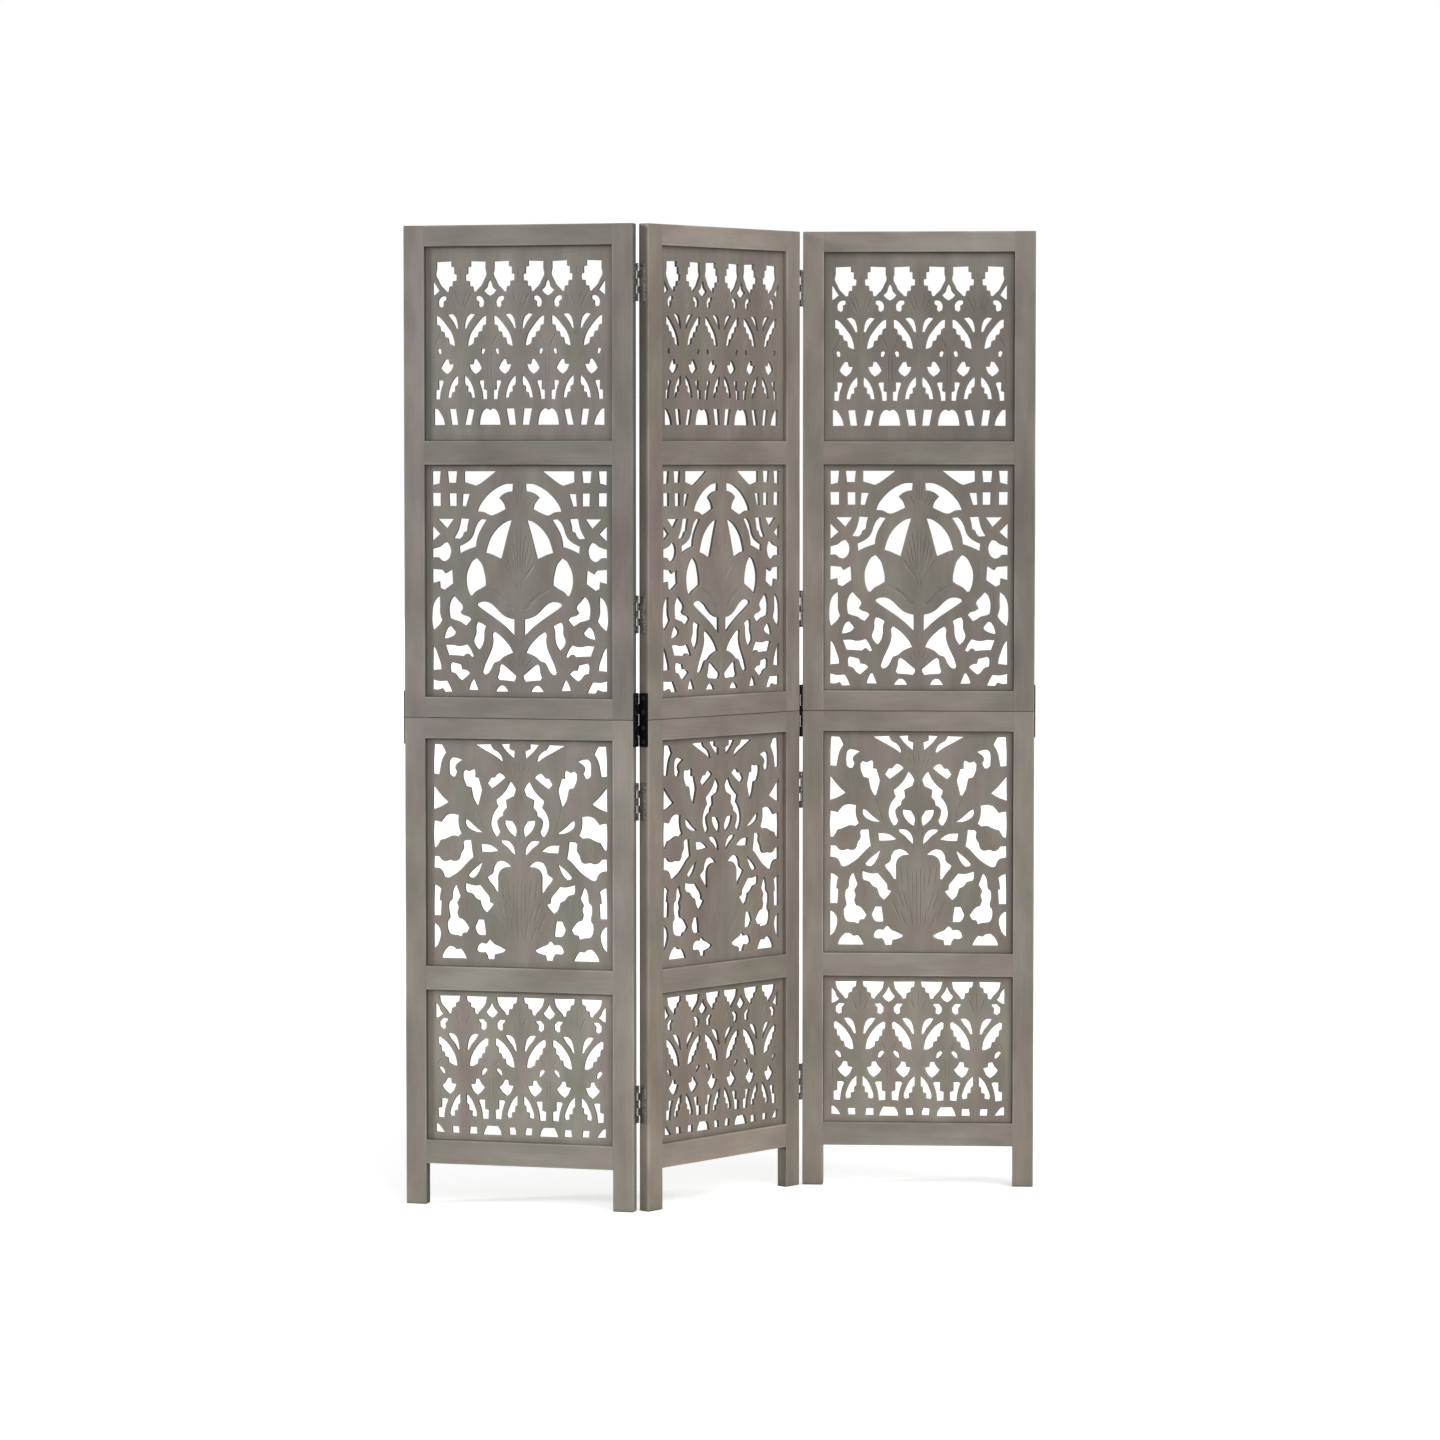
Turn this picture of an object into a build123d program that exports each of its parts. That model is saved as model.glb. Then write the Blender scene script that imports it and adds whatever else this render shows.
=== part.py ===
from build123d import *
from math import cos, pi, radians, sin
import os

# A three-leaf folding jali screen. Each leaf is an upper half and a lower half, butted together
# at mid-height and held by steel joining plates. Each half is two stiles and three rails, with a
# pierced fretwork board in each of its two openings. Four butt hinges join a leaf to the next.
#
# A leaf is built in its own frame, with x across it from its left edge, y through it from the
# front face to the back face, and z up from the floor. The leaves are then stood in a zigzag,
# and the origin is the middle of the whole screen's footprint, on the floor. All sizes are mm.

# ---------------------------------------------------------------- leaves
LEAF_WIDTH = 400
LEAF_THICKNESS = 20
LEAF_GAP = 5                 # between the edges of two leaves when the screen is opened flat
STILE_WIDTH = 36

# From the floor to the joint between the halves, then from the joint to the top.
LEG_HEIGHT = 70
BOTTOM_RAIL_HEIGHT = 40
LOWER_FRIEZE_HEIGHT = 255
LOWER_MID_RAIL_HEIGHT = 40
VASE_HEIGHT = 385
LOWER_TOP_RAIL_HEIGHT = 35
UPPER_BOTTOM_RAIL_HEIGHT = 35
TULIP_HEIGHT = 390
UPPER_MID_RAIL_HEIGHT = 40
UPPER_FRIEZE_HEIGHT = 325
TOP_RAIL_HEIGHT = 35

# ---------------------------------------------------------------- joinery
BOARD_THICKNESS = 6
GROOVE_DEPTH = 8
GROOVE_PLAY = 0.1            # on each face of a board in its groove; the tenons are snug
END_PLAY = 0.5               # between a board's edge, or a tenon's end, and the groove's bottom

# ---------------------------------------------------------------- joining plates
PLATE_HEIGHT = 90
PLATE_WIDTH = 19
PLATE_THICKNESS = 2

# ---------------------------------------------------------------- hinges
HINGE_HEIGHT = 63
HINGE_LEAF_WIDTH = 16        # from the pin's axis to the leaf's far edge
HINGE_LEAF_THICKNESS = 1.2
KNUCKLE_COUNT = 5
KNUCKLE_GAP = 0.35           # between two knuckles, end to end
BARREL_RADIUS = 2.45
BARREL_SIDES = 6
PIN_RADIUS = 1.2
PIN_CLEARANCE = 0.05
PIN_STANDOFF = 1             # from the leaves' faces out to the pin's axis
BARREL_RELIEF = 0.6          # between a hinge leaf and the other leaf's knuckles
HINGE_ABOVE_FLOOR = 180      # heights of the hinges' middles
HINGE_BELOW_JOINT = 137
HINGE_ABOVE_JOINT = 176
HINGE_BELOW_TOP = 97

# ---------------------------------------------------------------- how the screen stands
# Turn of each leaf about the vertical, in degrees, anticlockwise from above.
LEFT_TURN = -15.7
CENTRE_TURN = 49.2
RIGHT_TURN = -4.8

# ---------------------------------------------------------------- fretwork patterns
# Each pattern is drawn for the half of the board to the right of its centre line. An opening is a
# list of corners (distance from the centre line, height). The pattern is then stretched to fill
# its opening in the frame, up to the plain borders given here.
TULIP_BORDERS = (11, 9, 11)          # left at each side, below and above
VASE_BORDERS = (12, 13, 9)
TALL_BORDERS = (15, 27, 25)
SHORT_BORDERS = (14, 11, 10)
MOTIF_PITCH = 101                    # from one leaf motif to the next on a frieze

TULIP = [
    [(41, 379), (96, 379), (96, 361), (76, 355)],                                # spandrel
    [(109, 379), (126, 379), (124, 360), (111, 360)],                            # corner lattice
    [(138, 379), (152, 379), (152, 356), (140, 359)],
    [(87, 341), (99, 341), (101, 321), (93, 321)],
    [(110, 342), (123, 342), (122, 321), (110, 321)],
    [(138, 342), (152, 342), (152, 321), (138, 321)],
    [(11, 358), (51, 346), (74, 312), (50, 305), (24, 316), (36, 335), (12, 345)],   # crown
    [(14, 297), (48, 273), (59, 242), (31, 232)],                                # tulip's petals
    [(76, 235), (93, 205), (86, 171), (59, 188), (61, 210)],
    [(57, 299), (68, 299), (84, 268), (106, 253), (104, 241), (76, 253)],        # shoulder band
    [(88, 299), (102, 300), (115, 266), (104, 266)],
    [(115, 299), (143, 299), (127, 283)],                                        # side border
    [(126, 261), (152, 248), (152, 234), (131, 227), (119, 243)],
    [(117, 214), (152, 215), (152, 191), (132, 180), (116, 191)],
    [(140, 170), (153, 150), (151, 112), (136, 129)],
    [(152, 86), (137, 46), (152, 45)],
    [(9, 131), (28, 138), (56, 161), (75, 156), (9, 104)],                       # calyx
    [(113, 170), (124, 150), (121, 131), (93, 120), (85, 131), (103, 141), (99, 152)],
    [(59, 121), (74, 127), (80, 94), (70, 79)],                                  # scrolls
    [(80, 68), (125, 70), (131, 87), (91, 88)],
    [(45, 111), (48, 86), (65, 40), (43, 59), (12, 75)],               # root leaves
    [(32, 57), (39, 31), (9, 27), (6, 36)],
    [(87, 41), (121, 59), (121, 42), (102, 28)],
    [(118, 9), (127, 27), (152, 29), (152, 12)],
]
VASE = [
    [(50, 376), (78, 375), (31, 347), (36, 361)],                                # crown
    [(136, 375), (152, 375), (152, 325), (142, 324), (130, 361)],                # side border
    [(101, 350), (121, 353), (124, 323), (111, 324), (113, 338)],
    [(152, 307), (126, 277), (152, 264)],
    [(79, 334), (101, 331), (94, 304), (75, 273), (67, 299)],                    # sepals
    [(25, 320), (37, 328), (57, 312), (50, 302)],
    [(17, 314), (42, 282), (50, 238), (41, 221), (35, 229), (39, 248),
     (24, 266), (24, 284), (7, 298)],                                            # vase's neck
    [(13, 248), (27, 248), (8, 221), (6, 234)],
    [(66, 227), (93, 249), (96, 242), (87, 231)],
    [(108, 256), (128, 256), (139, 243), (152, 246), (152, 201), (136, 215),
     (103, 222)],                                                                # flower head
    [(86, 214), (100, 212), (107, 180), (136, 178), (152, 186), (152, 166),
     (131, 149), (106, 162), (82, 185)],
    [(15, 170), (42, 177), (57, 152), (40, 127), (38, 155)],                     # vase's shoulder
    [(46, 107), (69, 138), (96, 141), (95, 127), (70, 110), (59, 92)],           # fan leaf
    [(112, 138), (125, 108), (125, 55), (103, 50), (90, 65), (109, 84), (105, 119)],  # stem
    [(139, 131), (152, 139), (152, 85), (140, 85)],
    [(63, 80), (74, 80), (80, 67), (74, 54), (60, 54)],                          # foot
    [(152, 73), (140, 55), (152, 29)],
    [(26, 30), (54, 46), (77, 38), (76, 25), (57, 24), (56, 13), (46, 13)],
    [(94, 13), (104, 30), (127, 34), (138, 13)],
]
# The friezes repeat a leaf motif three times. Its distances are from the motif's own middle, and
# each opening is cut on both sides of it.
TALL_MOTIF = [
    [(17, 300), (43, 299), (44, 278), (24, 249), (8, 270)],                      # stepped head
    [(44, 209), (24, 193), (11, 159), (44, 195)],                                # leaf's outline
    [(13, 127), (25, 137), (36, 121), (24, 111)],                                # notched lozenge
    [(6, 112), (24, 72), (15, 74)],                                              # stalk
    [(32, 101), (40, 101), (45, 70), (38, 70)],
    [(5, 27), (9, 54), (22, 54), (18, 27)],                                      # palisade
]
SHORT_MOTIF = [
    [(5, 245), (42, 244), (37, 229), (23, 214), (7, 235)],
    [(44, 175), (23, 160), (11, 126), (44, 162)],
    [(12, 95), (26, 106), (38, 91), (25, 77)],
    [(6, 80), (24, 40), (14, 44)],
    [(28, 70), (39, 70), (45, 38), (34, 37)],
    [(8, 12), (10, 25), (21, 24), (20, 12)],
]
# These openings are between two motifs, measured from the line midway between them.
TALL_BETWEEN = [
    [(0, 270), (11, 251), (0, 242), (-11, 251)],                                 # lozenge
    [(-19, 27), (-13, 51), (13, 51), (19, 27)],                                  # palisade
]
SHORT_BETWEEN = [
    [(0, 236), (11, 219), (0, 209), (-11, 219)],
    [(-17, 11), (-10, 26), (10, 26), (17, 11)],
]
# These openings are at the ends, measured from half a pitch outside the outer motifs' middles.
TALL_END = [
    [(-21, 27), (-12, 50), (-3, 54), (-3, 27)],
]
SHORT_END = [
    [(-19, 12), (-10, 24), (-2, 27), (-2, 13)],
]

# ---------------------------------------------------------------- levels and places
OPENING_WIDTH = LEAF_WIDTH - 2 * STILE_WIDTH
LEAF_MIDDLE = LEAF_WIDTH / 2
RUN = GROOVE_DEPTH - END_PLAY            # how far a board or a tenon goes into a groove
BOARD_FRONT = (LEAF_THICKNESS - BOARD_THICKNESS) / 2
GROOVE = (BOARD_FRONT - GROOVE_PLAY, BOARD_FRONT + BOARD_THICKNESS + GROOVE_PLAY)
THROUGH = (0, LEAF_THICKNESS)
OPENING = (STILE_WIDTH, STILE_WIDTH + OPENING_WIDTH)


def stack(start, heights):
    """The levels reached by piling heights on start, lowest first."""
    levels = [start]
    for height in heights:
        levels.append(levels[-1] + height)
    return levels


LOWER_LEVELS = stack(LEG_HEIGHT, [BOTTOM_RAIL_HEIGHT, LOWER_FRIEZE_HEIGHT,
                                  LOWER_MID_RAIL_HEIGHT, VASE_HEIGHT, LOWER_TOP_RAIL_HEIGHT])
JOINT = LOWER_LEVELS[-1]
UPPER_LEVELS = stack(JOINT, [UPPER_BOTTOM_RAIL_HEIGHT, TULIP_HEIGHT,
                             UPPER_MID_RAIL_HEIGHT, UPPER_FRIEZE_HEIGHT, TOP_RAIL_HEIGHT])
TOP = UPPER_LEVELS[-1]
HINGE_LEVELS = [HINGE_ABOVE_FLOOR, JOINT - HINGE_BELOW_JOINT,
                JOINT + HINGE_ABOVE_JOINT, TOP - HINGE_BELOW_TOP]


# ---------------------------------------------------------------- shapes
def block(x, y, z):
    """A box given by its (low, high) pairs along x, y and z."""
    size = [high - low for low, high in (x, y, z)]
    middle = [(high + low) / 2 for low, high in (x, y, z)]
    return Pos(*middle) * Box(*size)


def stile(side, foot, top, groove_from):
    """An upright, grooved along its inner edge. side is -1 for the leaf's left, 1 for its right."""
    edge = LEAF_MIDDLE + side * LEAF_MIDDLE
    inner = edge - side * STILE_WIDTH
    bottom = inner + side * GROOVE_DEPTH
    body = block(sorted((edge, inner)), THROUGH, (foot, top))
    return body - block(sorted((inner, bottom)), GROOVE, (groove_from, top))


def rail(low, high, grooved_below, grooved_above):
    """A cross rail between the stiles, with stub tenons, grooved where it holds a board."""
    piece = block(OPENING, THROUGH, (low, high))
    tenon_low, tenon_high = low, high
    if grooved_below:
        piece -= block(OPENING, GROOVE, (low, low + GROOVE_DEPTH))
        tenon_low = low + GROOVE_DEPTH
    if grooved_above:
        piece -= block(OPENING, GROOVE, (high - GROOVE_DEPTH, high))
        tenon_high = high - GROOVE_DEPTH
    for start, end in ((OPENING[0] - RUN, OPENING[0]), (OPENING[1], OPENING[1] + RUN)):
        piece += block((start, end), GROOVE, (tenon_low, tenon_high))
    return piece


def both_sides(outlines):
    """Each outline, and its mirror image about the centre line."""
    return outlines + [[(-u, z) for u, z in outline] for outline in outlines]


def shifted(outlines, distance):
    """The outlines, moved along the board."""
    return [[(u + distance, z) for u, z in outline] for outline in outlines]


def frieze(motif, between, end):
    """Three leaf motifs side by side, with the openings between them and at the ends."""
    outlines = both_sides(shifted(between, MOTIF_PITCH / 2) + shifted(end, 1.5 * MOTIF_PITCH))
    for middle in (-MOTIF_PITCH, 0, MOTIF_PITCH):
        outlines += shifted(both_sides(motif), middle)
    return outlines


def fret_board(outlines, borders, sill, head):
    """A board in the grooves around an opening, pierced by the outlines up to the borders."""
    beside, below, above = borders
    widest = max(u for outline in outlines for u, z in outline)
    lowest = min(z for outline in outlines for u, z in outline)
    highest = max(z for outline in outlines for u, z in outline)
    across = (OPENING_WIDTH / 2 - beside) / widest
    upward = (head - sill - below - above) / (highest - lowest)

    def ring(points):
        return Wire(Polyline(*[Vector(x, BOARD_FRONT, z) for x, z in points], close=True))

    left, right = OPENING[0] - RUN, OPENING[1] + RUN
    bottom, top = sill - GROOVE_DEPTH, head + RUN
    rim = ring([(left, bottom), (right, bottom), (right, top), (left, top)])
    start = sill + below
    holes = [ring([(LEAF_MIDDLE + u * across, start + (z - lowest) * upward) for u, z in outline])
             for outline in outlines]
    return extrude(Face(rim, holes), amount=BOARD_THICKNESS, dir=(0, 1, 0))


def joining_plate(side):
    """A steel plate on a leaf's edge, across the joint between the halves."""
    edge = LEAF_MIDDLE + side * LEAF_MIDDLE
    outside = edge + side * PLATE_THICKNESS
    across = ((LEAF_THICKNESS - PLATE_WIDTH) / 2, (LEAF_THICKNESS + PLATE_WIDTH) / 2)
    upright = (JOINT - PLATE_HEIGHT / 2, JOINT + PLATE_HEIGHT / 2)
    return block(sorted((edge, outside)), across, upright)


def prism(radius, sides, low, high):
    """An upright bar with flats, about the z axis, with a flat facing x."""
    outline = RegularPolygon(radius, sides, rotation=180 / sides)
    return Pos(0, 0, low) * extrude(outline, amount=high - low)


def knuckle_span(index):
    """From where to where a knuckle reaches, measured from the hinge's middle."""
    length = (HINGE_HEIGHT - (KNUCKLE_COUNT - 1) * KNUCKLE_GAP) / KNUCKLE_COUNT
    low = -HINGE_HEIGHT / 2 + index * (length + KNUCKLE_GAP)
    return low, low + length


def hinge_leaf(first, to_edge, inward, level):
    """A hinge leaf and its knuckles, about a pin on the z axis.

    first is 0 for the leaf with the end knuckles and 1 for the other. to_edge and inward are 1
    or -1: the side along x where the stile's edge lies, and the way along y into the leaf.
    """
    face = LEAF_GAP / 2
    sheet = sorted((to_edge * face, to_edge * (face - HINGE_LEAF_THICKNESS)))
    near = BARREL_RADIUS + BARREL_RELIEF
    span = (-HINGE_HEIGHT / 2, HINGE_HEIGHT / 2)
    piece = block(sheet, sorted((inward * near, inward * HINGE_LEAF_WIDTH)), span)
    bore_radius = (PIN_RADIUS + PIN_CLEARANCE) / cos(pi / BARREL_SIDES)
    for index in range(first, KNUCKLE_COUNT, 2):
        low, high = knuckle_span(index)
        knuckle = prism(BARREL_RADIUS, BARREL_SIDES, low, high)
        knuckle += block(sheet, sorted((0, inward * near)), (low, high))
        piece += knuckle - prism(bore_radius, BARREL_SIDES, low, high)
    return Pos(0, 0, level) * piece


# ---------------------------------------------------------------- one leaf
def leaf_pieces(name):
    """The pieces of one leaf, in the leaf's own frame, by node name."""
    pieces = {}
    low, up = LOWER_LEVELS, UPPER_LEVELS
    for side, word in ((-1, "left"), (1, "right")):
        pieces[f"lower_{word}_stile"] = stile(side, 0, JOINT, low[0])
        pieces[f"upper_{word}_stile"] = stile(side, JOINT, TOP, JOINT)
        pieces[f"{word}_joining_plate"] = joining_plate(side)
    pieces["bottom_rail"] = rail(low[0], low[1], False, True)
    pieces["lower_mid_rail"] = rail(low[2], low[3], True, True)
    pieces["lower_top_rail"] = rail(low[4], low[5], True, False)
    pieces["upper_bottom_rail"] = rail(up[0], up[1], False, True)
    pieces["upper_mid_rail"] = rail(up[2], up[3], True, True)
    pieces["top_rail"] = rail(up[4], up[5], True, False)
    short = frieze(SHORT_MOTIF, SHORT_BETWEEN, SHORT_END)
    tall = frieze(TALL_MOTIF, TALL_BETWEEN, TALL_END)
    pieces["lower_frieze_board"] = fret_board(short, SHORT_BORDERS, low[1], low[2])
    pieces["vase_board"] = fret_board(both_sides(VASE), VASE_BORDERS, low[3], low[4])
    pieces["tulip_board"] = fret_board(both_sides(TULIP), TULIP_BORDERS, up[1], up[2])
    pieces["upper_frieze_board"] = fret_board(tall, TALL_BORDERS, up[3], up[4])
    return {f"{name}_{node}": piece for node, piece in pieces.items()}


# ---------------------------------------------------------------- the zigzag
def turned(point, degrees):
    """A plan point (x, y) turned about the origin."""
    c, s = cos(radians(degrees)), sin(radians(degrees))
    return c * point[0] - s * point[1], s * point[0] + c * point[1]


def stand(turn, plan_point, world_point):
    """The location of a leaf turned so, with its plan_point over world_point."""
    x, y = turned(plan_point, turn)
    return Location((world_point[0] - x, world_point[1] - y, 0), (0, 0, turn))


# The left fold closes backwards, on pins behind the leaves. The right fold closes forwards.
REACH = LEAF_GAP / 2                     # from a leaf's edge to the pin's axis, across
BEHIND = LEAF_THICKNESS + PIN_STANDOFF
AHEAD = -PIN_STANDOFF
LEFT_PIN = (0, 0)
CENTRE_SPAN = turned((LEAF_WIDTH + 2 * REACH, AHEAD - BEHIND), CENTRE_TURN)
RIGHT_PIN = (LEFT_PIN[0] + CENTRE_SPAN[0], LEFT_PIN[1] + CENTRE_SPAN[1])
PLACES = {
    "left": stand(LEFT_TURN, (LEAF_WIDTH + REACH, BEHIND), LEFT_PIN),
    "centre": stand(CENTRE_TURN, (-REACH, BEHIND), LEFT_PIN),
    "right": stand(RIGHT_TURN, (-REACH, AHEAD), RIGHT_PIN),
}


def hinge_set(pin, left_turn, right_turn, inward):
    """The hinges of one fold: both sets of hinge leaves, and the pins."""
    left = [hinge_leaf(0, -1, inward, level) for level in HINGE_LEVELS]
    right = [hinge_leaf(1, 1, inward, level) for level in HINGE_LEVELS]
    half = HINGE_HEIGHT / 2
    pins = [prism(PIN_RADIUS, BARREL_SIDES, level - half, level + half)
            for level in HINGE_LEVELS]
    spot = Pos(pin[0], pin[1], 0)
    return (spot * Rot(0, 0, left_turn) * Compound(left),
            spot * Rot(0, 0, right_turn) * Compound(right),
            spot * Rot(0, 0, left_turn) * Compound(pins))


screen = {}
for leaf_name, place in PLACES.items():
    for node, piece in leaf_pieces(leaf_name).items():
        screen[node] = place * piece
for fold, pin, turns, inward in (
    ("left_fold", LEFT_PIN, (LEFT_TURN, CENTRE_TURN), -1),
    ("right_fold", RIGHT_PIN, (CENTRE_TURN, RIGHT_TURN), 1),
):
    left, right, pins = hinge_set(pin, turns[0], turns[1], inward)
    screen[f"{fold}_end_knuckle_hinge_leaves"] = left
    screen[f"{fold}_mid_knuckle_hinge_leaves"] = right
    screen[f"{fold}_hinge_pins"] = pins

box = Compound(list(screen.values())).bounding_box()
to_origin = Pos(-(box.min.X + box.max.X) / 2, -(box.min.Y + box.max.Y) / 2, 0)
os.makedirs("parts", exist_ok=True)
for node, piece in screen.items():
    export_step(to_origin * piece, f"parts/{node}.step")

for name, pin in (("left fold", LEFT_PIN), ("right fold", RIGHT_PIN)):
    spot = to_origin.position + Vector(pin[0], pin[1], 0)
    print(f"{name}: pin at x {spot.X:.3f}, y {spot.Y:.3f}")
print(f"screen: {box.size.X:.2f} wide, {box.size.Y:.2f} deep, {box.size.Z:.2f} high")
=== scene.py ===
# %% [markdown]
# # A folding screen of three carved leaves
# This lesson dresses the joiner's plain solids of a folding jali screen. Each leaf is a frame of
# stiles and rails in two halves, with four boards let into grooves, and the leaves hang on small
# butt hinges. The solids come in as a fixed frame in metres. Nothing here moves or resizes them:
# every finished piece takes the place of one solid and rides on the same leaf.

# %% Load the fixed frame
import math

import bpy
import numpy as np
from mathutils.geometry import delaunay_2d_cdt
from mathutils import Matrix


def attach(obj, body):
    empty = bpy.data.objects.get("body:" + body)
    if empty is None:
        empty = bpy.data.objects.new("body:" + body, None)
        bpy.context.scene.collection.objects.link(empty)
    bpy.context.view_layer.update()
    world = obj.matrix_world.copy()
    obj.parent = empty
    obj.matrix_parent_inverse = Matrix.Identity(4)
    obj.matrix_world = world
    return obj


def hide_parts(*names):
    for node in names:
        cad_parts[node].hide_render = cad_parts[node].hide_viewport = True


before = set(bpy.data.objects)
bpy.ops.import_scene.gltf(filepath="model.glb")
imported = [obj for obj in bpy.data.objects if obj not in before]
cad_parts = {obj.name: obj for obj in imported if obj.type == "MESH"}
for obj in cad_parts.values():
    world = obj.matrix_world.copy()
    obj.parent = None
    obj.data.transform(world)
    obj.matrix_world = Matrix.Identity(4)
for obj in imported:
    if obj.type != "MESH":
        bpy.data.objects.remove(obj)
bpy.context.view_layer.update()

# %% [markdown]
# ## Where each leaf stands
# A leaf is drawn flat, as on the bench: x across from its left edge, y from the front face to the
# back, z up, all in millimetres. It is then turned about the upright and set against a hinge pin.
# Drawing on the bench and placing afterwards keeps every shape square and easy to read, and the
# three leaves can share one drawing.

# %% Leaf places and bench-to-room
MM = 0.001
LEAF_WIDTH, LEAF_THICKNESS, STILE_WIDTH = 400.0, 20.0, 36.0
LEFT_PIN, RIGHT_PIN = (-145.565, -146.663), (135.724, 145.545)
PLACES = {  # leaf: turn in degrees, a plan point of the leaf, and the pin it stands over
    "left": (-15.7, (402.5, 21.0), LEFT_PIN),
    "centre": (49.2, (-2.5, 21.0), LEFT_PIN),
    "right": (-4.8, (-2.5, -1.0), RIGHT_PIN),
}


def to_room(points, place):
    """Bench millimetres to room metres: turn by the angle the offset from the plan point, then
    add the pin's place. Heights stay."""
    turn, plan, pin = place
    c, s = math.cos(math.radians(turn)), math.sin(math.radians(turn))
    x, y = points[..., 0] - plan[0], points[..., 1] - plan[1]
    return np.stack([c * x - s * y + pin[0], s * x + c * y + pin[1], points[..., 2]], -1) * MM


print({leaf: to_room(np.zeros(3), place).round(3) for leaf, place in PLACES.items()})

# %% [markdown]
# ## From points to a piece
# Each surface below is a grid of points, as rings one after the other, or a list of triangles.
# One helper turns them into a mesh with its faces outwards and hands it to the frame. It also
# stores numbers at every corner that the wood finish reads: `cut`, the place in the plank along,
# across and through the grain, `worn`, how rubbed the wood is there, `stain_and_shade`, how much
# stain and painted shade lies there, `struck`, how deep in a tool stroke it is, and `tone`, how
# light the plank is, with painted light on the outer edges of the stiles.
# Storing the plank's own directions lets one finish follow the grain of every piece.

# %% Mesh helpers
SHARP = math.radians(40)


def outward(points, faces):
    """The faces, turned over if they look inwards: then the volume is negative, whose sixfold is
    the sum of a . (b x c) over the triangles of each face's fan."""
    volume = 0.0
    for size in {len(f) for f in faces}:
        corners = points[np.array([f for f in faces if len(f) == size])]
        for k in range(1, size - 1):
            volume += (corners[:, 0] * np.cross(corners[:, k], corners[:, k + 1])).sum()
    return [tuple(reversed(f)) for f in faces] if volume < 0 else faces


def make_piece(name, points, faces, finish, leaf, node=None, values=None, creased=None,
               place=None):
    """An object at the origin with its place in its mesh. It rides on the leaf, stands for the
    node's solid, whose object it hides, and takes the material of its finish; the slot name in the
    finish is not used. Turns sharper than SHARP and edges between creased corners stay crisp, and
    the rest is shaded smooth."""
    points = to_room(points, place or PLACES[leaf])
    mesh = bpy.data.meshes.new(name)
    mesh.from_pydata(points.tolist(), [], [tuple(map(int, f)) for f in outward(points, faces)])
    for key, numbers in (values or {}).items():
        kind, field = ("FLOAT_VECTOR", "vector") if numbers.ndim == 2 else ("FLOAT", "value")
        layer = mesh.attributes.new(key, kind, "POINT")
        layer.data.foreach_set(field, numbers.astype(np.float32).ravel())
    mesh.polygons.foreach_set("use_smooth", np.ones(len(mesh.polygons), bool))
    mesh.set_sharp_from_angle(angle=SHARP)
    if creased is not None:
        ends = np.zeros(len(mesh.edges) * 2, np.int32)
        mesh.edges.foreach_get("vertices", ends)
        sharp = np.zeros(len(mesh.edges), bool)
        mesh.attributes["sharp_edge"].data.foreach_get("value", sharp)
        sharp |= creased[ends.reshape(-1, 2)].all(1)
        mesh.attributes["sharp_edge"].data.foreach_set("value", sharp)
    material, slot = finish
    mesh.materials.append(material)
    piece = bpy.data.objects.new(name, mesh)
    bpy.context.scene.collection.objects.link(piece)
    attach(piece, f"{leaf}_leaf")
    if node:
        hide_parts(node)
    return piece


def grid(*axes):
    """Points with those coordinates, each repeated along the directions it does not have."""
    return np.stack(np.broadcast_arrays(*axes), -1)


def grid_faces(rows, columns):
    """Quads between neighbouring rings of a grid whose columns close on themselves, and a cap
    at each end, as lists of corner numbers."""
    corner = np.arange(rows * columns).reshape(rows, columns)
    after = np.roll(corner, -1, axis=1)
    quads = np.stack([corner[:-1], after[:-1], after[1:], corner[1:]], -1).reshape(-1, 4)
    return [tuple(q) for q in quads] + [tuple(corner[0][::-1]), tuple(corner[-1])]


def gather(parts):
    """Several closed grids as one list of points and faces."""
    points, faces, first = [], [], 0
    for rings in parts:
        flat = rings.reshape(-1, 3)
        faces += [[i + first for i in f] for f in outward(flat, grid_faces(*rings.shape[:2]))]
        points.append(flat)
        first += len(flat)
    return np.concatenate(points), faces


print(f"a bar of 2 rings of 4 points has {len(grid_faces(2, 4))} faces")

# %% [markdown]
# ## Nodes in few words
# A finish is a tree of nodes. These helpers add a node, fill its inputs with values or with what
# another node gives, and return its output, so that a finish reads like a formula.

# %% Node helpers
def fill(tree, node, inputs):
    """Each input, by its name or number, takes a value or another node's output."""
    for key, value in inputs.items():
        if isinstance(value, bpy.types.NodeSocket):
            tree.links.new(value, node.inputs[key])
        else:
            node.inputs[key].default_value = value


def add_node(tree, kind, inputs=None, output=0, **settings):
    """One output of a new node of that kind, with its settings and its inputs."""
    node = tree.nodes.new("ShaderNode" + kind)
    row, column = divmod(len(tree.nodes), 8)
    node.location = (200 * column - 2000, -300 * row)
    for key, value in settings.items():
        setattr(node, key, value)
    fill(tree, node, inputs or {})
    return node.outputs[output]


def new_material(name):
    """An empty node material with a Principled shader, and its tree and shader."""
    material = bpy.data.materials.new(name)
    material.use_nodes = True
    return material, material.node_tree, material.node_tree.nodes["Principled BSDF"]


def stored(tree, key, output="Fac"):
    """What the corners of a mesh hold under that name."""
    return add_node(tree, "Attribute", {}, output, attribute_name=key)


def noise(tree, place, sizes, detail, rough=0.55):
    """Noise whose cells have these sizes in metres along, across and through the grain."""
    scaled = add_node(tree, "Mapping", {"Vector": place, "Scale": [1.0 / s for s in sizes]})
    return add_node(tree, "TexNoise", {"Vector": scaled, "Scale": 1.0, "Detail": detail,
                                       "Roughness": rough}, "Fac")


def spread(tree, value, low, high, start=0.0, end=1.0):
    """value from low..high stretched to start..end and held there."""
    return add_node(tree, "MapRange", {"Value": value, "From Min": low, "From Max": high,
                                       "To Min": start, "To Max": end}, "Result")


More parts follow.
